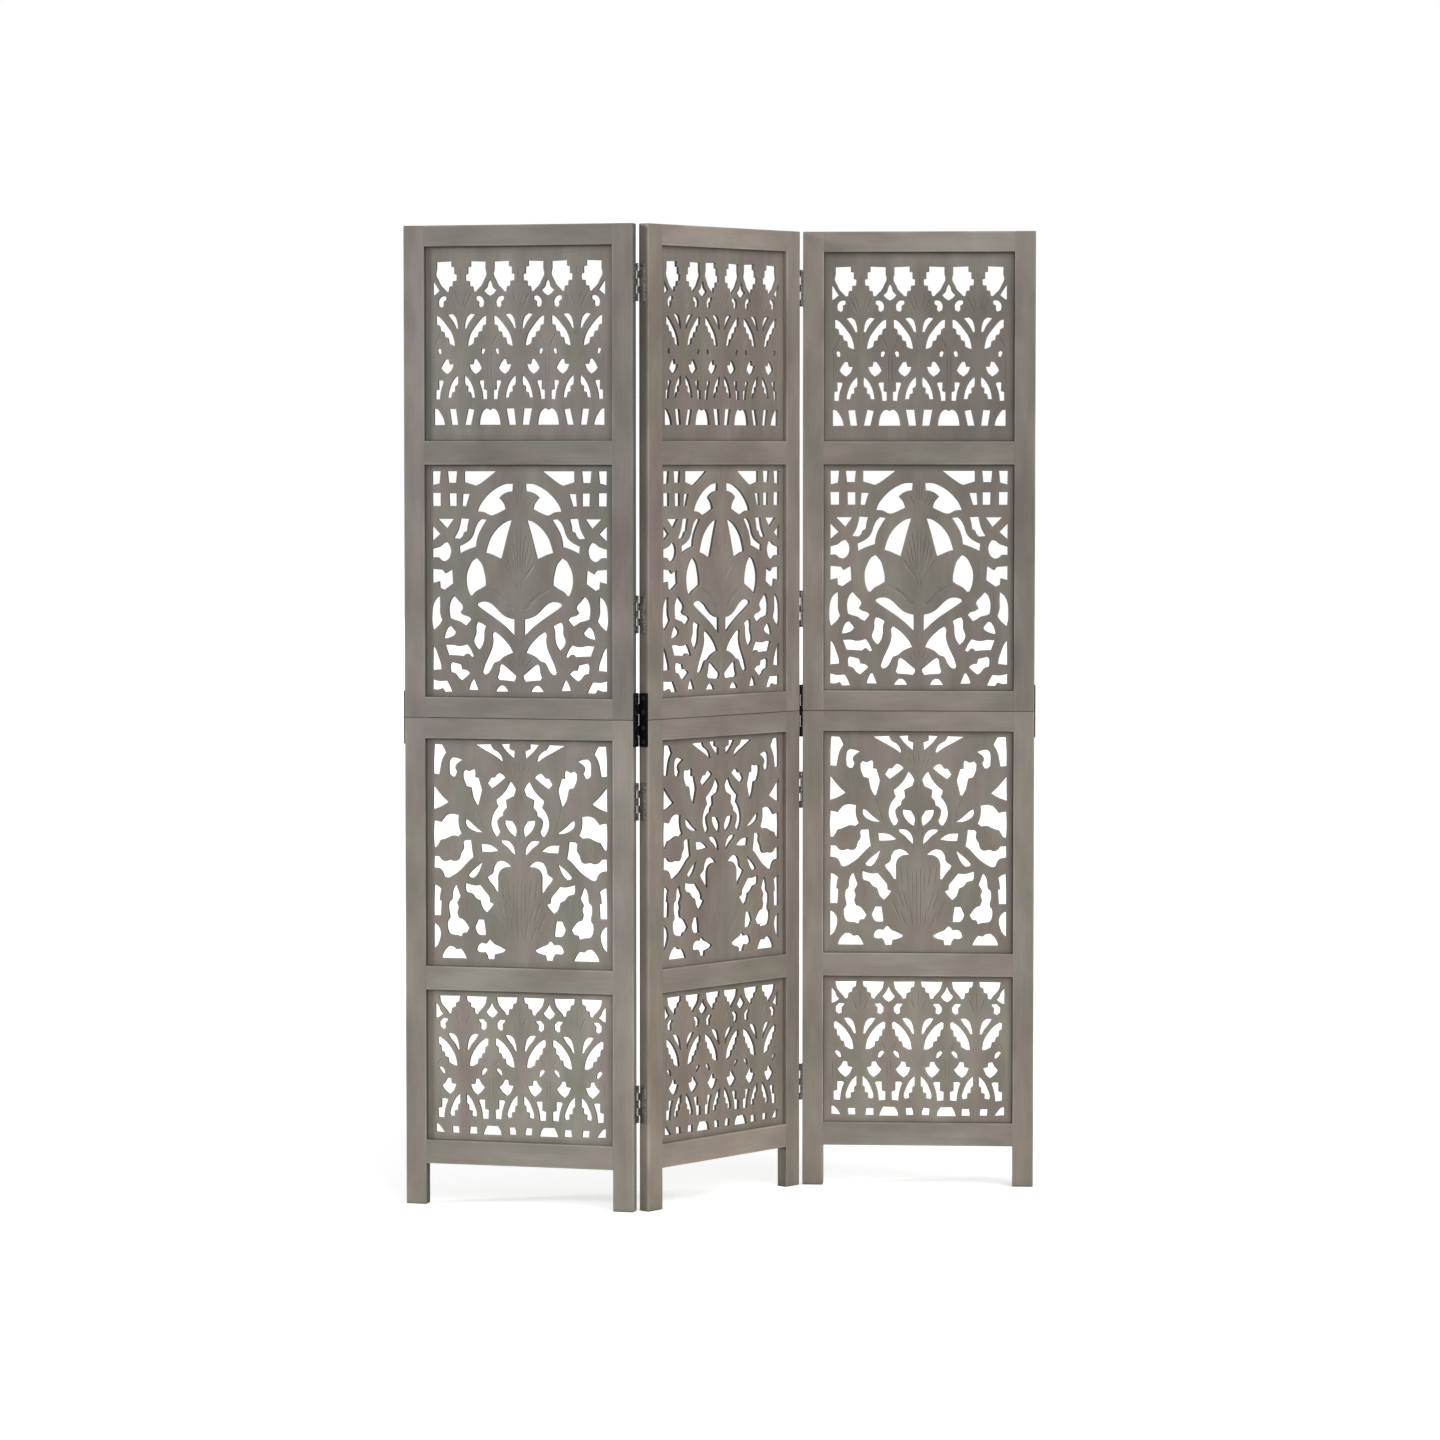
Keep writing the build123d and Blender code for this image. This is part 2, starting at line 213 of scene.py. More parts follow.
def blend(tree, factor, first, second):
    """first and second mixed by factor. Each is a colour or another node's output."""
    return add_node(tree, "Mix", {0: factor, 6: first, 7: second}, 2, data_type="RGBA")


def product(tree, first, second, operation="MULTIPLY"):
    """Two numbers multiplied, or put together by another operation."""
    return add_node(tree, "Math", {0: first, 1: second}, operation=operation)


def bump(tree, height, strength, distance):
    """The normal of a surface that rises with height, by up to distance metres."""
    return add_node(tree, "Bump", {"Height": height, "Strength": strength, "Distance": distance},
                    "Normal")


print("node helpers ready")

# %% [markdown]
# ## The washed grey wood
# The frames are a pale hardwood stained a warm grey and wiped, so the tone drifts from greenish
# to taupe along a plank, fine grain still shows as thin streaks, and the arrises are rubbed
# paler. A wiped stain is neither glossy nor chalky. The colour is built from noise that is
# stretched along the grain at the sizes real wood has: drifts of a hand's width, streaks of a
# few millimetres, and pores about a millimetre long.

# %% Wood finish
PATCHES = 0.13  # how much lighter and darker the cloudy patches are
BOARD_SHADE = 0.93  # the boards took a little more stain than the frame
# The left leaf's stain is set darker in part as painted shade, to offset the strong light of the
# low lamp from the left.
WOODS = {  # leaf: cool stain, warm stain, where it is rubbed pale, and the dark of grain, stain and painted shade
    "left": ((0.182, 0.174, 0.148), (0.198, 0.168, 0.153), (0.272, 0.253, 0.230),
             (0.048, 0.043, 0.037)),
    "centre": ((0.236, 0.212, 0.175), (0.256, 0.206, 0.178), (0.335, 0.308, 0.272),
               (0.060, 0.051, 0.043)),
    "right": ((0.238, 0.221, 0.187), (0.255, 0.213, 0.189), (0.345, 0.320, 0.288),
              (0.062, 0.054, 0.047)),
}
# how strong the painted shade in the middle of a carved stroke is on each leaf
STROKE_PAINTED_SHADE = {"left": 0.0, "centre": 0.6, "right": 0.85}


def washed_wood(name, tones, roughness, streak, stroke=1.0):
    """Stained wood in layers: a warm drift over the cool stain, paler clouds, darker streaks and
    pores, pale rubbed arrises, dark where stain or painted shade lies, a painted highlight on the
    flanks of a stroke and painted shade in its middle, where stroke says how strong that painted
    shade is."""
    material, tree, shader = new_material(name)
    cool, warm, pale, dark = ((*tone, 1.0) for tone in tones)
    cut, struck = stored(tree, "cut", "Vector"), stored(tree, "struck")
    drift = noise(tree, cut, (0.20, 0.07, 0.07), 2.0)
    cloud = spread(tree, noise(tree, cut, (0.13, 0.045, 0.045), 3.0), 0.3, 0.7)
    streaks = noise(tree, cut, (0.09, 0.0021, 0.0021), 4.0, 0.6)
    pores = noise(tree, cut, (0.006, 0.0005, 0.0005), 2.0)
    rubbed = product(tree, stored(tree, "worn"), spread(tree, cloud, 0.25, 0.75, 0.25, 0.8))
    colour = cool
    for factor, over in (
            (spread(tree, drift, 0.38, 0.62), warm),
            (spread(tree, cloud, 0.0, 1.0, 0.0, 0.22), pale),
            (spread(tree, streaks, 0.45, 0.75, 0.0, streak), dark),
            (spread(tree, pores, 0.55, 0.72, 0.0, 0.165), dark),
            (rubbed, pale),
            # stain_and_shade: real stain in joints and end grain, and painted shade in recesses
            # and gaps
            (stored(tree, "stain_and_shade"), dark),
            # painted highlight on the flanks of a stroke
            (spread(tree, struck, 0.0, 0.3, 0.0, 0.55), pale),
            # painted shade in the middle of a stroke, as strong as the leaf's stroke value
            (spread(tree, struck, 0.6, 1.0, 0.0, 0.38 * stroke), dark)):
        colour = blend(tree, factor, colour, over)
    toned = add_node(tree, "VectorMath", {0: colour, 1: stored(tree, "tone", "Vector")},
                     operation="MULTIPLY")
    patchy = spread(tree, cloud, 0.0, 1.0, 1 - PATCHES, 1 + PATCHES)
    fill(tree, shader, {
        "Base Color": add_node(tree, "VectorMath", {0: toned, "Scale": patchy},
                               operation="SCALE"),
        "Roughness": spread(tree, streaks, 0.3, 0.7, roughness - 0.05, roughness + 0.06),
        "Normal": bump(tree, product(tree, streaks, pores, "ADD"), 0.35, 0.00012),
        "Specular IOR Level": 0.35,
    })
    return material


FRAME_WOOD = {leaf: (washed_wood(f"washed_frame_wood_{leaf}", tones, 0.62, 0.115), "frame_wood")
              for leaf, tones in WOODS.items()}
BOARD_WOOD = {leaf: (washed_wood(f"washed_board_wood_{leaf}", BOARD_SHADE * np.array(tones), 0.66,
                                 0.085, STROKE_PAINTED_SHADE[leaf]), "carved_wood")
              for leaf, tones in WOODS.items()}
print(f"{len(FRAME_WOOD) + len(BOARD_WOOD)} wood finishes")

# %% [markdown]
# ## The metals
# The joining plates are black painted steel, a little polished where the paint is thin. The
# hinges are plain steel with a dull antique wash that leaves dark specks. Both are made from
# mottling a millimetre or two across, and the dark specks are rougher than the bare metal.

# %% Metal finishes
def mottled_metal(name, slot, bare, stained, metallic, rough, size, gloss=0.5):
    """Metal whose stain covers it in specks of that size: colour and roughness follow the same
    noise."""
    material, tree, shader = new_material(name)
    place = add_node(tree, "TexCoord", {}, "Object")
    specks = spread(tree, noise(tree, place, [size] * 3, 4.0, 0.65), 0.40, 0.62)
    fill(tree, shader, {
        "Base Color": blend(tree, specks, (*bare, 1.0), (*stained, 1.0)),
        "Roughness": spread(tree, specks, 0.0, 1.0, *rough),
        "Normal": bump(tree, specks, 0.3, 0.0001),
        "Metallic": metallic,
        "Specular IOR Level": gloss,
    })
    return material, slot


HINGE_METAL = mottled_metal("antiqued_hinge_steel", "hinge_metal", (0.34, 0.32, 0.29),
                            (0.07, 0.062, 0.055), 1.0, (0.36, 0.62), 0.0022)
SCREW_METAL = mottled_metal("antiqued_screw_steel", "hinge_metal", (0.42, 0.40, 0.37),
                            (0.12, 0.11, 0.10), 1.0, (0.30, 0.55), 0.0012)
BLACK_STEEL = mottled_metal("black_painted_steel", "black_steel", (0.007, 0.0065, 0.0065),
                            (0.004, 0.004, 0.004), 0.0, (0.42, 0.60), 0.0030, 0.12)
BLACK_SCREW = mottled_metal("black_screw_steel", "black_steel", (0.060, 0.058, 0.058),
                            (0.020, 0.020, 0.021), 0.4, (0.32, 0.55), 0.0012)
print("hinge steel, screw steel, black plate, black screw")

# %% [markdown]
# ## Levels of the frame
# The screen is made in two halves that stand on each other. The lower half has legs, a frieze
# board and the vase board. The upper half has the tulip board and a tall frieze. Writing the
# levels as one list for each half keeps stiles, rails and boards in step.

# %% Levels
LOWER = [70.0, 110.0, 365.0, 405.0, 790.0, 825.0]
UPPER = [825.0, 860.0, 1250.0, 1290.0, 1615.0, 1650.0]
JOINT = LOWER[-1]
RAILS = [  # node, its levels, and whether a board enters it from below and from above
    ("bottom_rail", LOWER[0], LOWER[1], False, True),
    ("lower_mid_rail", LOWER[2], LOWER[3], True, True),
    ("lower_top_rail", LOWER[4], LOWER[5], True, False),
    ("upper_bottom_rail", UPPER[0], UPPER[1], False, True),
    ("upper_mid_rail", UPPER[2], UPPER[3], True, True),
    ("top_rail", UPPER[4], UPPER[5], True, False),
]
GROOVE_DEPTH, GROOVE_NEAR, GROOVE_FAR = 8.0, 6.9, 13.1
TONGUE = GROOVE_DEPTH - 0.6  # how far a tenon or a board goes into a groove
print(f"joint at {JOINT} mm, top at {UPPER[-1]} mm")

# %% [markdown]
# ## Rounded bars
# Stiles and rails could be boxes with bevels, but hand-sanded arrises are never even. So the
# outline of the cross-section is carried along the piece, and at each ring the rounding of the
# arris is a little different.

# %% Cross-sections
ARRIS = 1.1  # how far a rounded corner goes
FADE = 3.0  # how far from the corner the rubbed paleness ends
ARC = np.radians([0, 30, 60, 90])
WAVES = np.array([310.0, 127.0, 53.0])  # how long the wavers of a sanded arris are


def rounded_bar(width, depth, radii, grooves):
    """The outline of a bar in plan, anticlockwise from its first corner, with its four corners
    rounded and a flat point FADE further in on both sides of each. grooves gives the depth of a
    groove in the second side and in the fourth, at the board's place. Each radius and each
    groove has one value for each ring along the bar. A rounder corner is rubbed paler. The
    result is x, y and wear, a row for each ring."""
    made = []
    corners = ((0, 0, 180), (width, 0, 270), (width, depth, 0), (0, depth, 90))
    for side, (cx, cy, start) in enumerate(corners):
        ux, uy, r = (1 if cx == 0 else -1), (1 if cy == 0 else -1), radii[side]
        flats = [(cx + ux * FADE, cy, 0.0), (cx, cy + uy * FADE, 0.0)]
        before, after = flats if side % 2 else flats[::-1]
        made.append(before)
        for angle in math.radians(start) + ARC:
            made.append((cx + ux * r + r * math.cos(angle), cy + uy * r + r * math.sin(angle),
                         np.clip(r / ARRIS, 0, 1)))
        made.append(after)
        if side % 2:
            near, far = (GROOVE_NEAR, GROOVE_FAR)[::uy]
            floor = cx + ux * grooves[side // 2]
            made += [(cx, near, 0.0), (floor, near, 0.0), (floor, far, 0.0), (cx, far, 0.0)]
    one = np.ones_like(radii[0])
    return [np.stack([row[k] * one for row in made], 1) for k in range(3)]


def wavering(along, seed, size):
    """1 plus a slow waver of that size: three sines of unlike lengths, in millimetres."""
    phase = np.array([0.7, 2.1, 4.4]) * seed
    return 1 + size * np.sin(along[:, None] * 2 * math.pi / WAVES + phase).mean(1)


def stations(low, high, steps, ease):
    """Places along a piece: its end, where the easing stops, evenly on, and the same again."""
    middle = np.linspace(low + 12, high - 12, steps)
    return np.concatenate([[low, low + ease], middle, [high - ease, high]])


section = rounded_bar(STILE_WIDTH, LEAF_THICKNESS, [np.ones(1)] * 4, [np.zeros(1)] * 2)
print(f"{section[0].shape[1]} points round a bar")

# %% [markdown]
# ## Each plank its own
# No two planks are alike: each comes from its own part of the log and took the stain in its own
# way. So a plank's name gives it a stretch of grain, and a list gives it a tone. Two tones are
# those at the left and the right edge of a board.

# %% Grain and tone of a plank
BLEND = 70.0
OWN_CUT = np.array([0.61, 0.173, 0.057])  # metres in the log from one number to the next
TONES = {  # how light a plank is beside its leaf's own wood, where it is not 1
    "left": {"upper_bottom_rail": 0.95, "upper_frieze_board": (1.0, 0.93),
        "upper_left_stile": 0.94, "upper_mid_rail": 0.78, "upper_right_stile": 0.81,
        "top_rail": 0.93, "lower_frieze_board": 1.17, "lower_left_stile": 0.97,
        "lower_mid_rail": 1.08, "lower_right_stile": 1.12, "lower_top_rail": 1.02,
        "bottom_rail": 1.02, "tulip_board": (0.93, 0.9), "vase_board": 1.05},
    "centre": {"upper_frieze_board": (0.91, 0.94), "upper_left_stile": 0.86,
        "upper_mid_rail": 0.92, "upper_right_stile": 1.02, "top_rail": 1.28,
        "lower_left_stile": 0.96, "lower_mid_rail": 0.98, "lower_right_stile": 0.92,
        "bottom_rail": 1.25, "tulip_board": (0.98, 1.04)},
    "right": {"upper_frieze_board": (0.93, 0.75), "upper_left_stile": 1.02,
        "upper_mid_rail": 0.91, "upper_right_stile": 0.83, "top_rail": 0.97,
        "lower_frieze_board": 1.17, "lower_left_stile": 1.05, "lower_mid_rail": 1.08,
        "bottom_rail": 1.12, "tulip_board": (1.05, 0.89), "vase_board": (1.08, 1.01)},
}


def seed_of(name):
    """A number from a piece's name, so that each plank has its own stretch of grain."""
    return sum((i + 3) * ord(letter) for i, letter in enumerate(name)) % 97


def cut_from(points, grain, name):
    """The plank's own coordinates in metres, moved to a part of the log of its own. grain gives
    the axes along, across and through the plank."""
    return points[:, grain] * MM + OWN_CUT * seed_of(name)


def plank_tone(leaf, node, points):
    """The plank's tone as a colour factor: its own in TONES, and toward the floor a yellower one,
    which takes up to a fifteenth of the blue. The frame was stained and wiped as one, so a rail
    and a stile meet halfway at the shoulder, and each has its own tone again BLEND away."""
    half = "lower" if "lower" in node or node == "bottom_rail" else "upper"
    across, height = points[:, 0] - LEAF_WIDTH / 2, points[:, 2]
    inward = LEAF_WIDTH / 2 - STILE_WIDTH
    own = np.interp(across, [-inward, inward], np.ones(2) * TONES[leaf].get(node, 1.0))
    met = []
    if node.endswith("stile"):
        met = [(other, np.abs(height - (low + high) / 2) - (high - low) / 2)
               for other, low, high, _, _ in (RAILS[:3] if half == "lower" else RAILS[3:])]
    elif node.endswith("rail"):
        met = [(f"{half}_left_stile", inward + across), (f"{half}_right_stile", inward - across)]
    tone = own.copy()
    for other, gap in met:
        tone += np.clip(1 - gap / BLEND, 0, 1) / 2 * (TONES[leaf].get(other, 1.0) - own)
    blue = np.interp(height, [0.0, 700.0, 900.0], [0.94, 0.975, 1.0])
    return grid(tone, tone, tone * blue)


def bar(leaf, node, rings, grain, worn, stain_and_shade, painted_light=1.0):
    """A piece of the frame from rings of bench points. Corners at one place become one corner,
    and a face that loses its area by it is left out."""
    name = f"{leaf}_{node}"
    points = grid(*rings).reshape(-1, 3)
    # painted_light raises or lowers the plank's tone where light is painted
    tones = plank_tone(leaf, node, points) * np.reshape(painted_light, (-1, 1))
    values = {"worn": worn.reshape(-1), "stain_and_shade": stain_and_shade.reshape(-1), "tone": tones,
              "cut": cut_from(points, grain, name)}
    _, first, number = np.unique(points.round(5), axis=0, return_index=True, return_inverse=True)
    faces = []
    for face in grid_faces(*worn.shape):
        ring = number.reshape(-1)[list(face)]
        ring = ring[ring != np.roll(ring, -1)]
        if len(set(ring)) > 2:
            faces.append(tuple(ring))
    return make_piece(f"{name}_wood", points[first], faces, FRAME_WOOD[leaf], leaf, name,
                      {key: numbers[first] for key, numbers in values.items()})


print(f"{sum(map(len, TONES.values()))} planks have a tone of their own")

# %% [markdown]
# ## Stiles
# A stile is an upright 36 by 20 mm with a groove for the boards in its inner edge. At its ends
# the outline draws in, which leaves the fine line that shows where the two halves meet. Beside a
# rail the inner corners stay crisp, as the frame was sanded flush there.

# %% Stiles
END_EASE, FOOT_EASE = 1.0, 2.2  # how far the ends are rounded
FLUSH, OUTER = 0.1, 0.4  # rounding beside a rail and at the hidden outer corner
# Dark at the ends of a stile is stain in the joint and end grain. On the inner faces of the legs
# and stiles and in the groove it is painted shade.
LEG_PAINTED_SHADE, END_STAIN, TOP_STAIN, GROOVE_PAINTED_SHADE = 0.75, 0.85, 0.4, 0.4
INNER_PAINTED_SHADE = ((0.45, 0.6), (0.0, 0.1))  # painted shade on the inner faces above and below the joint, and on the centre leaf's right stile, where the light falls
# Painted shade on the outer edge of a stile, darker towards the back where the gap between leaves
# is in shadow, and painted light making that edge lighter towards the floor.
EDGE_AT, EDGE_PAINTED_SHADE = [9.0, 13.1, 17.0, 18.5], [0.0, 0.03, 0.45, 0.8]
EDGE_UP, EDGE_PAINTED_LIGHT = [0.0, 824.0, 826.0, 1100.0, 1500.0], [1.5, 1.35, 1.3, 1.2, 0.95]


def stile(leaf, half, word):
    """The outline carried upward. The groove opens at the lowest rail, where a ring comes twice.
    The ends draw in by END_EASE, and a foot is rounded by FOOT_EASE. Stain lies at the ends.
    Painted shade lies in the groove and on the inner edge, and, from the front to the back, ever
    more on the outer edge, and painted light makes the outer edge lighter towards the floor."""
    node, lower = f"{half}_{word}_stile", half == "lower"
    levels = LOWER if lower else UPPER
    foot, top, opens = (0.0 if lower else levels[0]), levels[-1], levels[0]
    ease = [FOOT_EASE, 0.3 * FOOT_EASE, 0.0] if lower else [END_EASE, 0.0]
    beside = [level + d for level in levels[0 if lower else 1:-1] for d in (-0.6, 0.6)]
    z = np.unique(np.concatenate([stations(foot, top, 18, END_EASE), foot + np.array(ease),
                                  beside]))
    deep = np.full(len(z), GROOVE_DEPTH)
    if lower:
        first = np.searchsorted(z, opens)
        z = np.insert(z, first, [opens, opens])
        deep = np.where(np.arange(len(z)) > first, GROOVE_DEPTH, 0.0)
    flush = np.any([(z > a) & (z < b) for a, b in zip(levels[::2], levels[1::2])], axis=0)
    rounding = ARRIS * wavering(z, seed_of(f"{leaf}_{node}"), 0.35)
    inner = rounding * np.where(flush, FLUSH, 1.0)
    x, y, worn = rounded_bar(STILE_WIDTH, LEAF_THICKNESS,
                             [rounding, inner, inner, OUTER * rounding],
                             [deep, np.zeros_like(z)])
    inset = (np.interp(z - foot, ease[::-1], ease)
             + np.interp(top - z, [0, END_EASE], [END_EASE, 0]))[:, None]
    across = np.clip(x, inset, STILE_WIDTH - inset)
    rings = (LEAF_WIDTH - across if word == "right" else across,
             np.clip(y, inset, LEAF_THICKNESS - inset), z[:, None])
    edge = (x < 0.01) & (y > 0) & (y < LEAF_THICKNESS)
    groove = (x < STILE_WIDTH - 0.01) & (np.abs(y - LEAF_THICKNESS / 2) < 3.2)
    facing = (x > STILE_WIDTH - 0.01) & ~flush[:, None]
    inner_shade = INNER_PAINTED_SHADE[(leaf, word) == ("centre", "right")][lower]
    # painted shade on the outer edge, in the groove and on the inner faces and legs; stain at the
    # ends
    stain_and_shade = np.max(np.broadcast_arrays(
        edge * np.interp(y, EDGE_AT, EDGE_PAINTED_SHADE), groove * min(GROOVE_PAINTED_SHADE, inner_shade),
        facing * np.where(z < opens, LEG_PAINTED_SHADE, inner_shade)[:, None],
        (inset > 0) * np.where((z < top - 2) | lower, END_STAIN, TOP_STAIN)[:, None]), axis=0)
    # painted light: the outer edge lighter towards the floor
    painted_light = np.where(edge, np.interp(z, EDGE_UP, EDGE_PAINTED_LIGHT)[:, None], 1.0)
    return bar(leaf, node, rings, (2, 0, 1), worn * (inset == 0), stain_and_shade, painted_light)


stiles = [stile(leaf, half, word) for leaf in PLACES for half in ("lower", "upper")
          for word in ("left", "right")]
print(f"{len(stiles)} stiles, {len(stiles[0].data.polygons)} faces each")

# %% [markdown]
# ## Rails
# A rail lies between the stiles and goes into their grooves with a stub tenon. It is the same
# carried outline, laid along the leaf: at each shoulder the outline jumps to the small outline
# of the tenon at one and the same place, which gives the flat shoulder. The grooves in its top
# and bottom edges hold the boards.

# %% Rails
SHOULDER, SHOULDER_EASE, PLAY = 0.04, 0.08, 0.05


def rail(leaf, node, low, high, grooved_below, grooved_above):
    """The outline, stood on its side, carried across. In the tenons every point is held within
    the tenon's small rectangle. Where the two halves meet, stain lies in the fine joint."""
    left, right = STILE_WIDTH, LEAF_WIDTH - STILE_WIDTH
    begin, end, height = left + SHOULDER, right - SHOULDER, high - low
    along = np.concatenate([[left - TONGUE, left], stations(begin, end, 9, SHOULDER_EASE),
                            [right, right + TONGUE]])
    tenon = (along <= left) | (along >= right)
    deep = [np.full(len(along), GROOVE_DEPTH * cut) for cut in (grooved_above, grooved_below)]
    radii = [ARRIS * wavering(along, seed_of(f"{leaf}_{node}"), 0.3)] * 4
    up, through, worn = rounded_bar(height, LEAF_THICKNESS, radii, deep)
    inset = np.where((along == begin) | (along == end), SHOULDER_EASE, 0.0)
    bottom = np.where(tenon, deep[1], inset)[:, None]
    top = np.where(tenon, height - deep[0], height - inset)[:, None]
    front = np.where(tenon, GROOVE_NEAR + PLAY, inset)[:, None]
    back = np.where(tenon, GROOVE_FAR - PLAY, LEAF_THICKNESS - inset)[:, None]
    z = low + np.clip(up, bottom, top)
    joint = np.abs(z - JOINT)
    worn = worn * (~tenon & (inset == 0))[:, None] * (joint > 2)
    return bar(leaf, node, (along[:, None], np.clip(through, front, back), z), (0, 2, 1), worn,
               (joint < 0.6) * END_STAIN)


rails = [rail(leaf, *row) for leaf in PLACES for row in RAILS]
print(f"{len(rails)} rails, {len(rails[0].data.polygons)} faces each")

# %% [markdown]
# ## The patterns of the boards
# Jali is fretwork: the pattern is the board that is left between the holes. Each hole is written
# as an outline of points u,z in millimetres, u from the middle of the board and z above the
# opening's sill. A pattern is drawn once and mirrored, as a carver's paper template is folded.
# The tulip board has one big flower with leaves, spandrels and a pointed bud.

# %% Tulip board outlines
def outlines(text):
    """Holes by name: a word begins a hole, and the pairs after it are its points."""
    holes = {}
    for word in text.split():
        if word[0].isalpha():
            hole = holes[word] = []
        else:
            hole.append([float(number) for number in word.split(",")])
    return [np.array(hole) for hole in holes.values()]


TULIP = outlines("""
spandrel 41,379 96,379 96,361 76,355 68,359
sq1 109,379 126,379 124,360 111,360
sq2 138,379 152.5,379 152,356 140,359
sq3 87,341 99,341 100.5,321 93.5,320.5
sq4 110,342 123,342 122.5,321 110,321
sq5 138,342.5 152.5,342.5 152,321 138,321
hook 11,358 25,357.5 39,351.5 51,343.5 62,332.5 70,321 73.5,312 63,311 50,305.5 38,309 24,316
  27,325 35,335 28,341 20,344.5 12,346
inner_petal 13.5,297 20,296 31,290 42,280 51,267 56,254 59,243 49,240 40,236 31.5,232.5 25.5,255
  20,276
band 57.5,298 67,299 73,293 78,283 81,273.5 86.5,265 95,258.5 105.5,253.5 104.5,241.5 95,246
  85.5,250 76,253 75,262 71.5,274 66,284.5
finger 88,299 102.5,300 104.5,290 107.5,280 114.5,267 104,266 99.5,270.5 97,276.5 92,279 90.5,290
tri1 115.5,299 142.5,299 127,283
tri2 139,274 152.5,288 152.5,262
blob 126,260 132,258.5 139,253 152.5,248.5 152.5,234.5 143,234.5 137,229.5 130.5,228 124,232.5
  120,243 121,252
outer_petal 74.5,234 82,229.5 88,220 92.5,208 93.5,195 91,180 87,171 83,171 77,177.5 67,183 59,188
  59,197 61.5,210 65.5,223
block 118,214.5 130,207.5 134.5,213.5 152.5,215 152.5,191.5 140.5,194.5 139.5,183 132,180
  116.5,191
leaf 9,131 19,133.5 28,138 37,146 45,154 54,159.5 65,160.5 73,158 74.5,154.5 69,150 58,142.5
  46,134.5 35,127 23,117.5 9,104
notched 114,170 119,165 123,155 123.5,142 122,132.5 115,130 106,127.5 98,122.5 93.5,120.5 85,130.5
  88,134.5 98,138 103.5,142 99,150 100.5,155 107,162
side_leaf 140,170 147,164.5 152,155 154,142 154,125 151.5,112 141.5,121 136,129 139.5,141
  139.5,156
seed 59,120 67,124.5 73.5,126.5 76,121 76.5,107 80.5,94.5 76,84.5 70.5,79.5 64.5,89 62,100
  61.5,112
small 112,109.5 120,119 124,118 129,111 132.5,98.5 125,99.5 113.5,105.5
low_petal 44,110.5 47,107 46.5,95 49,82 54.5,69 61,55 65,42 62,38 56,40 50,47.5 44,58.5 36,61.5
  28.5,68 21,72 11.5,75.5 17,86 26,96.5 36,105.5
bird 80.5,69 84.5,67.5 90,73 94,73 98,69 111,70 124.5,70.5 130.5,87 118,87.5 105.5,85.5 91.5,88.5
  86,81
side_slope 152,86 147.5,80 143,68.5 138.5,55 137.5,46.5 152.5,45
foot1 31.5,56.5 34.5,53 36,43 39,33.5 36.5,29.5 22,28.5 10,27 6.5,33 6.5,37 16,45 25,52.5
step 87,40.5 92.5,45 101,46.5 103,54.5 118.5,58.5 121.5,55 121,42 113.5,39.5 107,31.5 101.5,28
  95,33
half_round 20,10 23,15.5 28.5,20 34,20 39,15 42,10
peak 72.5,12 75.5,20 79.5,29.5 82.5,29.5 86.5,22 89.5,12.5
foot2 118.5,9 122.5,18 127.5,27 142,26.5 152.5,29 152.5,12.5 145,12 136,14.5 132,8.5
""")
print(f"tulip: {len(TULIP)} holes in half a board")

# %% [markdown]
# The vase board is a spray of leaves that rises from a foot between two stems, under a crown of
# petals.

